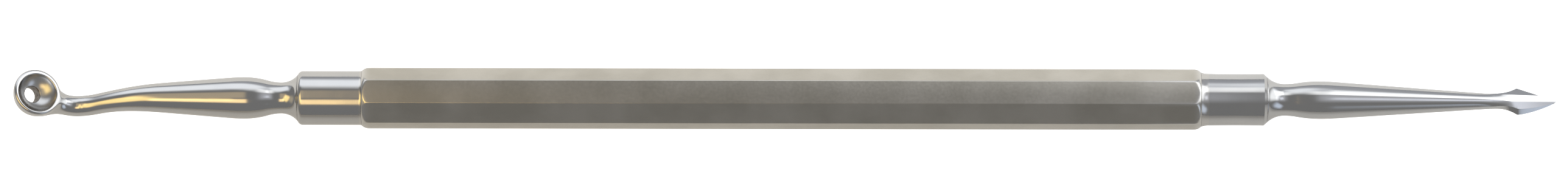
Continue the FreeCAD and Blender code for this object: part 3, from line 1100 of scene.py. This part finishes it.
    def profile(self) -> tuple[np.ndarray, np.ndarray, dict[Paint, np.ndarray]]:
        """Closed profile of the cup round its axis, how each row leans to the hole's, and paint.

        It runs up the ball from the hole, over the lip, along the rim, over the brim, down the
        dimple and down the hole's wall.  The cup settles its corners into rounds.

        Returns:
            Radius and height of each row from the rim's centre, a lean from 0 to 1, and the
            haze of the dimple, which no buff reaches, with the hole's wall painted darker brown.
        """
        low = math.asin((self.hole_radius + self.hole_round) / self.ball_radius)
        dip = math.asin((self.lip_round - self.ball_sink) / (self.ball_radius - self.lip_round))
        polar = np.linspace(low, math.pi / 2 - dip, self.ball_rows)
        ball = self.ball_radius * np.stack([np.sin(polar), -np.cos(polar)], axis=-1)
        ball[:, 1] -= self.ball_sink
        lip_middle = (self.ball_radius - self.lip_round) * math.cos(dip)
        turn = np.linspace(-dip, math.pi / 2, self.lip_rows)[1:]
        lip = self.lip_round * np.stack([np.cos(turn), np.sin(turn) - 1], axis=-1)
        lip[:, 0] += lip_middle
        outer = np.array([self.brim_radius + self.brim_out * self.brim_round, 0.0])
        inner = np.array([
            self.brim_radius - self.brim_in * self.brim_round, -self.brim_down * self.brim_round,
        ])
        rim = straight_run(lip[-1], outer, self.rim_rows)[1:-1]
        brim = straight_run(outer, inner, self.brim_rows)
        floor_edge = self.hole_radius + self.hole_round
        bowl_from = math.asin(inner[0] / self.dimple_radius)
        bowl_to = math.asin(floor_edge / self.dimple_radius)
        bowl = np.linspace(bowl_from, bowl_to, self.bowl_rows)[1:]
        rise = self.dimple_radius - self.depth
        dimple = np.stack([self.dimple_radius * np.sin(bowl), rise - self.dimple_radius * np.cos(bowl)], -1)
        foot = ball[0] + np.array([-self.hole_round, self.hole_round])
        head = dimple[-1] - np.array([self.hole_round, self.hole_round])
        top_edge = straight_run(dimple[-1], head, self.hole_edge_rows)[1:]
        wall = straight_run(head, foot, self.wall_rows)[1:]
        low_edge = straight_run(foot, ball[0], self.hole_edge_rows)[1:-1]
        rows = np.concatenate([ball, lip, rim, brim, dimple, top_edge, wall, low_edge])
        ball_lean = ease((self.lean_from - polar) / (self.lean_from - low))
        bowl_lean = ease((bowl[0] - bowl) / (bowl[0] - bowl[-1]))
        level = np.zeros(len(lip) + len(rim) + len(brim))
        full = np.ones(len(top_edge) + len(wall) + len(low_edge))
        nil = np.zeros(len(ball) + len(lip) + len(rim) + len(brim))
        bare = np.zeros(len(dimple) + 1)
        # The hole's wall is painted darker brown through the residue tone.
        darkened_wall = np.full(len(top_edge) + len(wall) - 1, self.hole_wall_darkening)
        paint = {
            Paint.HAZE: np.concatenate([nil, ease((bowl[0] - bowl) / self.haze_reach), full]),
            Paint.RESIDUE: np.concatenate([nil, bare, darkened_wall, np.zeros(len(low_edge))]),
        }
        return rows, np.concatenate([ball_lean, level, bowl_lean, full]), paint

    def skin(self) -> Skin:
        """Works out the whole cup.

        The profile is carried round the cup's axis, which leans towards the hole's axis near
        the hole.  A window in the ball opens to a patch that runs along the web to the seam,
        and there a socket closes it.  All but the seam is settled onto the finished cup.

        Returns:
            The skin in the seam's axes.
        """
        rows, lean, paint = self.profile()
        axis = (1 - lean[:, None]) * self.rim_axis + lean[:, None] * self.hole_axis
        axis = axis / np.linalg.norm(axis, axis=1, keepdims=True)
        towards_stem = np.array([-1.0, 0, 0])
        front = towards_stem - (axis @ towards_stem)[:, None] * axis
        front = front / np.linalg.norm(front, axis=1, keepdims=True)
        beside = np.cross(axis, front)
        turn = np.linspace(-math.pi, math.pi, self.columns, endpoint=False)
        spokes = np.cos(turn)[:, None] * front[:, None] + np.sin(turn)[:, None] * beside[:, None]
        rings = self.centre + rows[:, :1, None] * spokes + (rows[:, 1:] * axis)[:, None]
        rings = self.settle(rings)

        ids = np.arange(rings.shape[0] * self.columns).reshape(-1, self.columns)
        faces = lattice(ids, ring=True)
        inside = np.flatnonzero(np.abs(turn - self.window_turn) <= self.window_reach)
        left, right = inside[0], inside[-1]
        ball = rows[: self.ball_rows]
        polar = np.arctan2(ball[:, 0], -ball[:, 1])
        low, high = int(np.argmax(polar > self.window_foot)), self.ball_rows - 1
        kept = np.ones(faces.shape[:2], bool)
        kept[low:high, left:right] = False
        loop = np.concatenate([
            ids[high, left:right], ids[high:low:-1, right], ids[low, right:left:-1], ids[low:high, left],
        ])
        edge = rings.reshape(-1, 3)[loop]

        angle = np.arctan2(edge[:, 2], edge[:, 1])
        out = np.stack([np.zeros_like(angle), np.cos(angle), np.sin(angle)], axis=-1)
        seam = self.grown_radius(np.zeros(3), out)[:, None] * out
        tube = self.stem_radius * out
        root = tube.copy()
        off_ball_axis = np.hypot(tube[:, 1], tube[:, 2] - self.lift)
        root[:, 0] = self.reach - np.sqrt(self.ball_radius**2 - off_ball_axis**2)
        share = np.linspace(0, 1, self.patch_rows + 1)[1:-1, None, None]
        patch = (1 - share) ** 2 * edge + 2 * share * (1 - share) * root + share**2 * seam
        patch = self.settle(patch)
        socket = np.stack([self.socket_radius * out, self.socket_radius * out + [self.socket_depth, 0, 0]])
        added = np.concatenate([patch, seam[None], socket])
        patch_ids = ids.size + np.arange(added.shape[0] * loop.size).reshape(-1, loop.size)
        strip = lattice(np.concatenate([loop[None], patch_ids]))
        pole = ids.size + patch_ids.size
        last = patch_ids[-1]
        fans = np.stack([last, np.roll(last, -1), np.full_like(last, pole)], axis=-1)
        points = np.concatenate([rings.reshape(-1, 3), added.reshape(-1, 3), [[self.socket_depth, 0, 0]]])
        quads = np.concatenate([faces[kept], strip.reshape(-1, 4)])
        used = np.unique(np.concatenate([quads.ravel(), fans.ravel()]))
        renumber = np.zeros(len(points), int)
        renumber[used] = np.arange(used.size)
        skin = Skin(points[used], renumber[quads], renumber[fans])
        for kind, values in paint.items():
            spread = np.zeros(len(points))
            spread[: ids.size] = np.repeat(values, self.columns)
            skin.painted(kind, spread[used])
        return skin


@dataclass
class CupEnd(Assembly):
    """The extractor end: collar, brazing fillet, bent stem and drilled cup."""

    turned: TurnedEnd
    place: Placement
    down_radius: float = 15.0
    down_angle: float = math.radians(24)
    up_radius: float = 3.3
    up_angle: float = math.radians(30)
    stem_radius: float = 0.925
    spigot_radius: float = 0.45
    spigot_length: float = 0.7
    web_reach: float = 1.2
    # How far to either side the line is averaged, and over how many points.
    bend_easing: float = 0.9
    easing_points: int = 15
    bend_rows: int = 44
    tail_rows: int = 60

    @property
    def down_length(self) -> float:
        """Length of the stem along its first bend."""
        return self.down_radius * self.down_angle

    @property
    def seam_along(self) -> float:
        """Distance along the stem at which the cup begins."""
        up_length = self.up_radius * (self.down_angle + self.up_angle)
        return self.turned.taper_along + self.down_length + up_length

    def route(self, along: np.ndarray) -> tuple[np.ndarray, np.ndarray]:
        """Middle line of the stem, with the changes from bend to bend eased.

        Each point is the mean of the bent line a little way to either side, and that way
        shrinks to nothing before the seam.

        Args:
            along: Distances along the stem.

        Returns:
            Points as (along, side, up) in the end's axes, and the slope angle at each.
        """
        to_seam = self.seam_along - along
        window = self.bend_easing * ease((to_seam - self.web_reach) / self.bend_easing)
        near = along[:, None] + window[:, None] * np.linspace(-1, 1, self.easing_points)
        points, slope = self.bent_line(near.ravel())
        eased = points.reshape(len(along), -1, 3).mean(axis=1)
        return eased, slope.reshape(len(along), -1).mean(axis=1)

    def bent_line(self, along: np.ndarray) -> tuple[np.ndarray, np.ndarray]:
        """Line of the bends as they are set out: straight, an arc down, an arc up, straight.

        Args:
            along: Distances along the stem.

        Returns:
            Points as (along, side, up) in the end's axes, and the slope angle at each.
        """
        straight = self.turned.taper_along
        dip = straight + self.down_length
        down = np.clip((along - straight) / self.down_radius, 0, self.down_angle)
        up = np.clip((along - dip) / self.up_radius, 0, self.down_angle + self.up_angle)
        slope = up - down
        level = np.minimum(along, straight) + self.down_radius * np.sin(down)
        level = level + self.up_radius * (np.sin(slope) + np.sin(down)) * (up > 0)
        height = -self.down_radius * (1 - np.cos(down))
        height = height + self.up_radius * (np.cos(down) - np.cos(slope)) * (up > 0)
        past = np.maximum(along - self.seam_along, 0)
        ahead = level + past * np.cos(slope)
        above = height + past * np.sin(slope)
        return np.stack([ahead, np.zeros_like(along), above], axis=-1), slope

    def bend_radii(self, share: np.ndarray) -> np.ndarray:
        """Stem radius over the first bend: a cubic that leaves the taper at its own slope.

        Args:
            share: Share of the bend's length, from 0 to 1.

        Returns:
            The radius, which ends level at the stem's.
        """
        end = self.turned
        start_share = 1 - ease(share)
        lost = end.taper_slope * share * (1 - share) ** 2 * self.down_length
        return end.taper_radius * start_share - lost + self.stem_radius * (1 - start_share)

    def stem(self, cup: DimpledCup) -> Skin:
        """Stem: rings of the turned profile, carried along the middle line to the spigot.

        Args:
            cup: The cup, whose web the last rings grow into.

        Returns:
            The skin in the end's own axes.
        """
        profile = self.turned.stem_profile()
        share = np.linspace(0, 1, self.bend_rows)[1:]
        bend_along = self.turned.taper_along + self.down_length * share
        bend = np.stack([bend_along, self.bend_radii(share)], axis=-1)
        rest = np.linspace(bend[-1, 0], self.seam_along, self.tail_rows)[1:]
        tail = np.stack([rest, np.full_like(rest, self.stem_radius)], axis=-1)
        tip = self.seam_along + self.spigot_length
        spigot = [(self.seam_along, self.spigot_radius), (tip, self.spigot_radius)]
        rows = np.concatenate([profile, bend, tail, spigot])
        middle, slope = self.route(rows[:, 0])
        turn = np.linspace(0, FULL_TURN, self.turned.columns, endpoint=False)
        beside = np.array([0.0, 1, 0])
        above = np.stack([-np.sin(slope), np.zeros_like(slope), np.cos(slope)], axis=-1)
        spokes = np.cos(turn)[:, None] * beside + np.sin(turn)[:, None] * above[:, None]
        radii = np.repeat(rows[:, 1:], turn.size, axis=1)
        near_seam = rows[:, 0] > self.seam_along - self.web_reach
        webbed = np.flatnonzero(near_seam & (rows[:, 1] > self.spigot_radius))
        seam = self.seam_frame()
        inverse = np.array(seam.axes).T
        radii[webbed] = cup.grown_radius(
            ((middle[webbed] - seam.origin) @ inverse)[:, None], spokes[webbed] @ inverse
        )
        rings = middle[:, None] + radii[..., None] * spokes
        skin = Skin.tube(rings, middle[0], middle[-1])
        return skin.painted(Paint.RESIDUE, self.turned.residue(rings))

    def seam_frame(self) -> Placement:
        """Axes of the seam between stem and cup, in the end's own axes."""
        points, slope = self.route(np.array([self.seam_along]))
        run, rise = math.cos(slope[0]), math.sin(slope[0])
        return Placement(tuple(points[0]), ((run, 0, rise), (0, 1, 0), (-rise, 0, run)))

    def build(self) -> list[Piece]:
        """Works out the four pieces of the end.

        Returns:
            Collar, fillet, stem and cup, in the frame's axes.
        """
        cup = DimpledCup(self.stem_radius, self.up_radius)
        cup_skin = cup.skin()
        cup_skin.points = self.seam_frame().world(cup_skin.points)
        return self.place.carry([
            Piece("cup_collar", "spoon_ferrule", Slot.POLISHED, self.turned.collar()),
            Piece("cup_collar_fillet", "spoon_braze_ring", Slot.BRAZE, self.turned.fillet()),
            Piece("bent_stem", "spoon_shank", Slot.POLISHED, self.stem(cup)),
            Piece("dimpled_cup", "spoon_cup", Slot.POLISHED, cup_skin),
        ])


@dataclass
class LancetEnd(Assembly):
    """The lancet end: collar, brazing fillet and turned stem with a ground spear blade."""

    turned: TurnedEnd
    place: Placement
    grind_lead: float = 1.7
    barb_length: float = 2.3
    barb_sweep: float = 2.5
    blade_length: float = 3.55
    barb_half_width: float = 1.23
    far_flat: float = 0.55
    near_bevel: float = 0.49
    near_bevel_fade: float = 0.8
    belly: float = 0.21
    belly_fullness: float = 0.7
    ridge_height: float = 0.45
    ridge_side: float = -0.12
    far_flat_share: float = 0.97
    far_flank_slope: float = 0.2
    far_bevel_slope: float = 0.44
    near_flank_share: float = 0.76
    least_edge: float = 0.012
    point_half_width: float = 0.05
    point_height: float = 0.035
    point_length: float = 0.03
    lean: float = math.radians(0.33)
    flat_blend: float = 0.05
    # Places of the points on half of a section's side, as shares of the side.
    corner_places: tuple[float, ...] = (0.0, 0.012, 0.05, 0.13, 0.26, 0.42)
    # How far the two rows beside the barbs' line lie from it.
    barb_gap: float = 0.006
    # Rows over the ground length, closer towards the barbs, and along the blade.
    grind_rows: int = 40
    grind_crowding: float = 0.8
    blade_rows: int = 34

    @property
    def ground_length(self) -> float:
        """Length from the first touch of the wheel to the barbs."""
        return self.grind_lead + self.barb_length

    def side_shares(self) -> np.ndarray:
        """Places of the points along one side of the blade's section, close at the corners."""
        near = np.array(self.corner_places)
        return np.concatenate([near, 1 - near[:0:-1]])

    def corners(self, along: np.ndarray) -> np.ndarray:
        """Corners of the blade's section: edges, bevel lines and ridge, above and below.

        Up to the barbs the width grows as a power of the way there, and the ridge is a cubic
        that leaves the taper at its slope and meets the blade's.  Past them the far edge is
        straight to the point, the near edge is fuller by a belly, and the ridge falls straight.
        The far flank and its bevel keep one slope each, so both are flat.

        Args:
            along: Distance from the neck, where the sweep out to the barbs starts.

        Returns:
            Side and up of the nine corners of each row.
        """
        sweep = np.clip(along / self.barb_length, 0, 1)
        left = 1 - np.clip((along - self.barb_length) / self.blade_length, 0, 1)
        widening = (self.barb_half_width - self.turned.taper_radius) * sweep**self.barb_sweep
        narrowing = (self.barb_half_width - self.point_half_width) * left
        far = np.where(sweep < 1, self.round_radius(along) + widening, self.point_half_width + narrowing)
        near = far + self.belly * (1 - (2 * left - 1) ** 2) ** self.belly_fullness * (sweep >= 1)
        fall = (self.ridge_height - self.point_height) / self.blade_length
        ground = self.ground_share(along)
        first = self.turned.taper_radius + self.turned.taper_slope * self.grind_lead
        lost = self.turned.taper_slope * ground * (1 - ground) ** 2 + fall * ground**2 * (ground - 1)
        ridge = np.where(
            sweep < 1,
            first + (self.ridge_height - first) * ease(ground) - lost * self.ground_length,
            self.point_height + fall * self.blade_length * left,
        )
        flat = soft_least(np.full_like(far, self.far_flat), self.far_flat_share * far, self.flat_blend)
        bevel = np.where(sweep < 1, self.near_bevel * sweep, self.near_bevel * left**self.near_bevel_fade)
        side = self.ridge_side * ease(sweep) * left
        high_far = ridge - self.far_flank_slope * (flat - side)
        edge = np.maximum(high_far - self.far_bevel_slope * (far - flat), self.least_edge)
        high_near = self.near_flank_share * ridge
        above = [(far, edge), (flat, high_far), (side, ridge), (bevel - near, high_near)]
        below = [(across, -up) for across, up in reversed(above)]
        tip_line = [(-near, np.zeros_like(near))]
        return np.stack([np.stack(corner, axis=-1) for corner in above + tip_line + below], axis=1)

    def round_radius(self, along: np.ndarray) -> np.ndarray:
        """Radius of the round stem before grinding, even past the neck."""
        return self.turned.taper_radius + self.turned.taper_slope * np.maximum(-along, 0)

    def ground_share(self, along: np.ndarray) -> np.ndarray:
        """Share of the way from the first touch of the wheel, on the taper, to the barbs."""
        return np.clip((along + self.grind_lead) / self.ground_length, 0, 1)

    def lancet(self) -> Skin:
        """Lancet: rings of the turned stem, then of the blade's section, to the point.

        Over the ground length each point moves from the round stem to its place on the section's
        sides.  Past the collar the whole stem leans a little to the near side.

        Returns:
            The skin in the end's own axes.
        """
        blade_end = self.barb_length + self.blade_length
        spacing = np.linspace(0, 1, self.grind_rows) ** self.grind_crowding
        sweep = self.ground_length * spacing - self.grind_lead
        barbs = self.barb_length + np.array([-self.barb_gap, self.barb_gap])
        run = np.linspace(self.barb_length, blade_end, self.blade_rows)[1:]
        along = np.concatenate([sweep[:-1], barbs, run])
        corner = self.corners(along)
        shares = self.side_shares()[None, None, :, None]
        sides = corner[:, :, None] + (np.roll(corner, -1, 1) - corner)[:, :, None] * shares
        blade = sides.reshape(len(along), -1, 2)
        angle = np.arctan2(blade[..., 1], blade[..., 0])
        spread = np.stack([np.cos(angle), np.sin(angle)], axis=-1)
        disc = self.round_radius(along)[:, None, None] * spread
        ground = ease(self.ground_share(along))[:, None, None]
        section = disc + (blade - disc) * ground
        start = self.turned.taper_along
        ahead = np.repeat((start + along)[:, None, None], blade.shape[1], axis=1)
        blade_rings = np.concatenate([ahead, section], axis=-1)
        profile = self.turned.stem_profile()
        profile = profile[profile[:, 0] < start - self.grind_lead]
        spokes = np.concatenate([np.zeros_like(angle[0])[:, None], spread[0]], axis=-1)
        stem_rings = profile[:, 1:, None] * spokes + profile[:, :1, None] * np.array([1.0, 0, 0])
        rings = np.concatenate([stem_rings, blade_rings])
        tip = np.array([start + blade_end + self.point_length, 0, 0])
        tip[1] = -math.tan(self.lean) * (tip[0] - self.turned.collar_length)
        rings[..., 1] -= math.tan(self.lean) * np.maximum(rings[..., 0] - self.turned.collar_length, 0)
        skin = Skin.tube(rings, np.array([profile[0, 0], 0, 0]), tip)
        return skin.painted(Paint.RESIDUE, self.turned.residue(rings))

    def build(self) -> list[Piece]:
        """Works out the three pieces of the end.

        Returns:
            Collar, fillet and lancet, in the frame's axes.
        """
        return self.place.carry([
            Piece("lancet_collar", "lancet_ferrule", Slot.POLISHED, self.turned.collar()),
            Piece("lancet_collar_fillet", "lancet_braze_ring", Slot.BRAZE, self.turned.fillet()),
            Piece("spear_lancet", "lancet", Slot.POLISHED, self.lancet()),
        ])


@dataclass(frozen=True)
class SoftLight:
    """A plain rectangular studio light: its place, size in millimetres, tone and strength.

    The lean, in degrees, raises its right-hand side as seen from the tool.
    """

    name: str
    place: tuple[float, float, float]
    aim: tuple[float, float, float]
    width: float
    height: float
    tone: str
    radiance: float
    fades: tuple[float, float] = (0.6, 0.6)
    lean: float = 0.0

    def soften(self, tree: bpy.types.NodeTree) -> None:
        """Fades the light to its edges, as a cloth-covered box does.

        Args:
            tree: The lamp's own nodes, which read the place on its face from 0 to 1.
        """
        tree.nodes.clear()
        face = add_node(tree, "ShaderNodeNewGeometry").outputs["Parametric"]
        apart = add_node(tree, "ShaderNodeSeparateXYZ", {"Vector": face})
        fades = []
        for side, fade in zip("XY", self.fades):
            off = add_node(
                tree, "ShaderNodeMath", {0: apart.outputs[side], 1: FACE_MIDDLE}, operation="SUBTRACT"
            ).outputs["Value"]
            far = add_node(tree, "ShaderNodeMath", {0: off}, operation="ABSOLUTE").outputs["Value"]
            fades.append(
                add_node(
                    tree,
                    "ShaderNodeMapRange",
                    {"Value": far, "From Min": FACE_MIDDLE, "From Max": FACE_MIDDLE * (1 - fade)},
                    interpolation_type="SMOOTHSTEP",
                ).outputs["Result"]
            )
        both = add_node(
            tree, "ShaderNodeMath", {0: fades[0], 1: fades[1]}, operation="MULTIPLY"
        ).outputs["Value"]
        glow = add_node(tree, "ShaderNodeEmission", {"Strength": both}).outputs["Emission"]
        add_node(tree, "ShaderNodeOutputLight", {"Surface": glow})

    def hang(self) -> None:
        """Adds the light to the scene, facing its aim, at a power that gives its radiance."""
        lamp = bpy.data.lights.new(self.name, "AREA")
        lamp.use_nodes = True
        self.soften(lamp.node_tree)
        lamp.shape = "RECTANGLE"
        lamp.size = self.width * MM
        lamp.size_y = self.height * MM
        lamp.color = linear(self.tone)[:3]
        lamp.energy = self.radiance * math.pi * lamp.size * lamp.size_y
        stand = bpy.data.objects.new(self.name, lamp)
        stand.location = Vector(self.place) * MM
        towards = Vector(self.aim) - Vector(self.place)
        facing = towards.to_track_quat("-Z", "Y") @ Quaternion((0, 0, 1), -math.radians(self.lean))
        stand.rotation_euler = facing.to_euler()
        bpy.context.scene.collection.objects.link(stand)


@dataclass
class Studio:
    """The plain pale floor, the soft lights and the camera at the photograph's angle.

    The floor glows more to the camera than onto the tool, which keeps it white round the tool.
    """

    floor_size: float = 3000.0
    floor_tone: str = "#FCFCFB"
    floor_diffuse: float = 0.5
    # The backlight grows from near to far over this stretch of the frame's Y.
    near_glow: float = 0.0
    far_glow: float = 0.65
    glow_from: float = -25.0
    glow_to: float = 16.0
    seen_glow: float = 0.8
    room_tone: str = "#F2F2F3"
    room_light: float = 0.32
    # Long, but short enough that a camera moved back to see the whole tool still reaches it.
    lens: float = 200.0
    sensor: float = 36.0
    image_width: int = 2576
    image_height: int = 322
    # Pixels to a millimetre in the photograph, and where the middle of the bar lies there.
    pixels_per_mm: float = 18.086
    bar_middle: tuple[float, float] = (1283.5, 162.4)
    elevation: float = math.radians(76)
    tilt: float = math.radians(0.104)
    lights: tuple[SoftLight, ...] = (
        SoftLight("sky_wall", (0, 420, 220), (0, 0, 40), 1300, 520, "#E6EEFF", 0.33, (0.2, 0.4)),
        SoftLight("window", (-110, 245, 163), (-110, 35, -35), 470, 290, "#F6FAFF", 1.0, (0.5, 0.65), 24),
        SoftLight("right_window", (165, 150, 257), (165, 0, 2), 340, 172, "#FAFCFF", 1.25, (0.4, 0.75)),
        SoftLight("stem_window", (230, 179, 239), (230, 0, 2), 310, 190, "#FAFCFF", 1.1, (0.26, 0.35)),
        SoftLight("gold_card", (-94, -135, 225), (-94, 0, 2), 120, 130, "#FFD993", 1.8, (0.35, 0.6)),
        SoftLight("gold_wing", (-208, -72, 226), (-57, 0, 2), 280, 230, "#FFDA80", 1.85, (0.6, 0.7)),
        SoftLight("gold_end", (-310, -60, 110), (-60, 0, 2), 240, 200, "#FFE3A6", 0.35, (0.8, 0.8)),
        SoftLight("warm_ceiling", (-160, 10, 320), (-160, 0, 0), 250, 260, "#FFDD9C", 0.4, (0.3, 0.55)),
        SoftLight("ceiling", (223, -10, 330), (223, -10, 0), 400, 420, "#EEF2FF", 0.5, (0.4, 0.9)),
        SoftLight("top_card", (150, -30, 300), (68, 0, 2), 130, 130, "#E8EEFF", 0.7, (0.7, 0.7)),
        SoftLight("blue_card", (165, -165, 100), (-67, 0, 2), 250, 180, "#D6E6FF", 0.9, (0.8, 0.8)),
        SoftLight("end_window", (270, 85, 160), (47, 0, 2), 420, 400, "#F8FBFF", 1.5, (0.6, 0.7)),
    )

    def lay_floor(self) -> None:
        """Lays a flat sheet under the tool: a pale table, backlit more strongly behind it."""
        half = self.floor_size * MM / 2
        corners = [(-half, -half, 0), (half, -half, 0), (half, half, 0), (-half, half, 0)]
        mesh = bpy.data.meshes.new("floor")
        mesh.from_pydata(corners, [], [(0, 1, 2, 3)])
        material, tree = new_material("backlit_white_acrylic")
        red, green, blue, _ = linear(self.floor_tone)
        dim = tuple(self.floor_diffuse * share for share in (red, green, blue))
        lit = add_node(tree, "ShaderNodeBsdfDiffuse", {"Color": (*dim, 1.0)}).outputs["BSDF"]
        place = add_node(tree, "ShaderNodeTexCoord").outputs["Object"]
        behind = add_node(tree, "ShaderNodeSeparateXYZ", {"Vector": place}).outputs["Y"]
        backlight = add_node(
            tree,
            "ShaderNodeMapRange",
            {
                "Value": behind,
                "From Min": self.glow_from * MM,
                "From Max": self.glow_to * MM,
                "To Min": self.near_glow,
                "To Max": self.far_glow,
            },
            interpolation_type="SMOOTHSTEP",
        ).outputs["Result"]
        seen = add_node(tree, "ShaderNodeLightPath").outputs["Is Camera Ray"]
        strength = add_node(
            tree,
            "ShaderNodeMath",
            {0: seen, 1: self.seen_glow, 2: backlight},
            operation="MULTIPLY_ADD",
        ).outputs["Value"]
        glow = add_node(
            tree, "ShaderNodeEmission", {"Color": linear(self.floor_tone), "Strength": strength}
        ).outputs["Emission"]
        both = add_node(tree, "ShaderNodeAddShader", {0: lit, 1: glow}).outputs["Shader"]
        add_node(tree, "ShaderNodeOutputMaterial", {"Surface": both})
        mesh.materials.append(material)
        floor = bpy.data.objects.new("floor", mesh)
        bpy.context.scene.collection.objects.link(floor)

    def light(self) -> None:
        """Lights the room evenly and dimly, and hangs the soft lights."""
        world = bpy.data.worlds.new("room")
        world.use_nodes = True
        world.node_tree.nodes.clear()
        sky = add_node(
            world.node_tree,
            "ShaderNodeBackground",
            {"Color": linear(self.room_tone), "Strength": self.room_light},
        ).outputs["Background"]
        add_node(world.node_tree, "ShaderNodeOutputWorld", {"Surface": sky})
        bpy.context.scene.world = world
        bpy.context.scene.view_settings.view_transform = "Standard"
        for lamp in self.lights:
            lamp.hang()

    def aim_camera(self, axis_height: float) -> None:
        """Sets a long lens at the photograph's angle, so that the bar lies where it does there.

        Args:
            axis_height: Height of the bar's axis, in millimetres.
        """
        lens = bpy.data.cameras.new("photo_camera")
        lens.sensor_fit = "HORIZONTAL"
        lens.sensor_width = self.sensor
        lens.lens = self.lens
        view_width = self.image_width / self.pixels_per_mm
        distance = view_width * self.lens / self.sensor
        flat_right = Vector((1, 0, 0))
        flat_up = Vector((0, math.sin(self.elevation), math.cos(self.elevation)))
        right = flat_right * math.cos(self.tilt) + flat_up * math.sin(self.tilt)
        up = flat_up * math.cos(self.tilt) - flat_right * math.sin(self.tilt)
        back = right.cross(up)
        across = (self.image_width / 2 - self.bar_middle[0]) / self.pixels_per_mm
        above = (self.bar_middle[1] - self.image_height / 2) / self.pixels_per_mm
        target = Vector((0, 0, axis_height)) + right * across + up * above
        camera = bpy.data.objects.new("photo_camera", lens)
        turn = Matrix((right, up, back)).transposed().to_4x4()
        camera.matrix_world = Matrix.Translation((target + back * distance) * MM) @ turn
        bpy.context.scene.collection.objects.link(camera)
        bpy.context.scene.camera = camera

    def set_up(self, axis_height: float) -> None:
        """Lays the floor, hangs the lights and aims the camera."""
        self.lay_floor()
        self.light()
        self.aim_camera(axis_height)


def collar_length(node: str) -> float:
    """Length of a collar along the axis, in millimetres, from its solid."""
    low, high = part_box(node)
    return (high.x - low.x) / MM


def cup_end(end_face: float, axis_height: float) -> CupEnd:
    """Sizes and place of the extractor end.

    Args:
        end_face: Distance of the handle's end face from the origin.
        axis_height: Height of the handle's axis.

    Returns:
        The end, turned to point backwards and rolled as it lies in the photograph.
    """
    roll = math.radians(16)
    sine, cosine = math.sin(roll), math.cos(roll)
    place = Placement((-end_face, 0, axis_height), ((-1, 0, 0), (0, -cosine, sine), (0, sine, cosine)))
    sizes = TurnedEnd(
        collar_length=collar_length("spoon_ferrule"),
        collar_radius=2.45,
        edge_form=EdgeForm.ROUNDED,
        edge_drop=0.3,
        edge_length=0.45,
        fillet_length=0.2,
        fillet_foot=2.49,
        flare_length=1.5,
        neck_radius=1.42,
        bulb_reach=3.37,
        bulb_radius=1.9,
        crest_length=1.2,
        taper_length=7.66,
        taper_radius=1.34,
    )
    return CupEnd(sizes, place)


def lancet_end(end_face: float, axis_height: float) -> LancetEnd:
    """Sizes and place of the lancet end.

    Args:
        end_face: Distance of the handle's end face from the origin.
        axis_height: Height of the handle's axis.

    Returns:
        The end, along the handle's axis.
    """
    place = Placement((end_face, 0, axis_height), ((1, 0, 0), (0, 1, 0), (0, 0, 1)))
    sizes = TurnedEnd(
        collar_length=collar_length("lancet_ferrule"),
        collar_radius=2.36,
        edge_form=EdgeForm.CHAMFERED,
        edge_drop=0.26,
        edge_length=0.3,
        fillet_length=0.7,
        fillet_foot=2.49,
        flare_length=1.6,
        neck_radius=1.45,
        bulb_reach=3.15,
        bulb_radius=1.72,
        crest_length=1.5,
        taper_length=15.65,
        taper_radius=0.68,
        collar_waist=0.03,
    )
    return LancetEnd(sizes, place)


def main() -> None:
    """Builds and dresses the tool piece by piece, then sets up the studio round it."""
    logging.basicConfig(level=logging.INFO, format="%(name)s: %(message)s")
    finishes = {finish.slot: finish.material() for finish in (SatinSteel(), PolishedSteel(), SilverBraze())}
    low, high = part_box("handle_bar")
    end_face = (high.x - low.x) / 2 / MM
    axis_height = (high.z + low.z) / 2 / MM
    handle = Handle(half_length=end_face, half_flats=axis_height)
    for assembly in (handle, cup_end(end_face, axis_height), lancet_end(end_face, axis_height)):
        assembly.dress(finishes)
    Studio().set_up(axis_height)


if __name__ == "__main__":
    main()
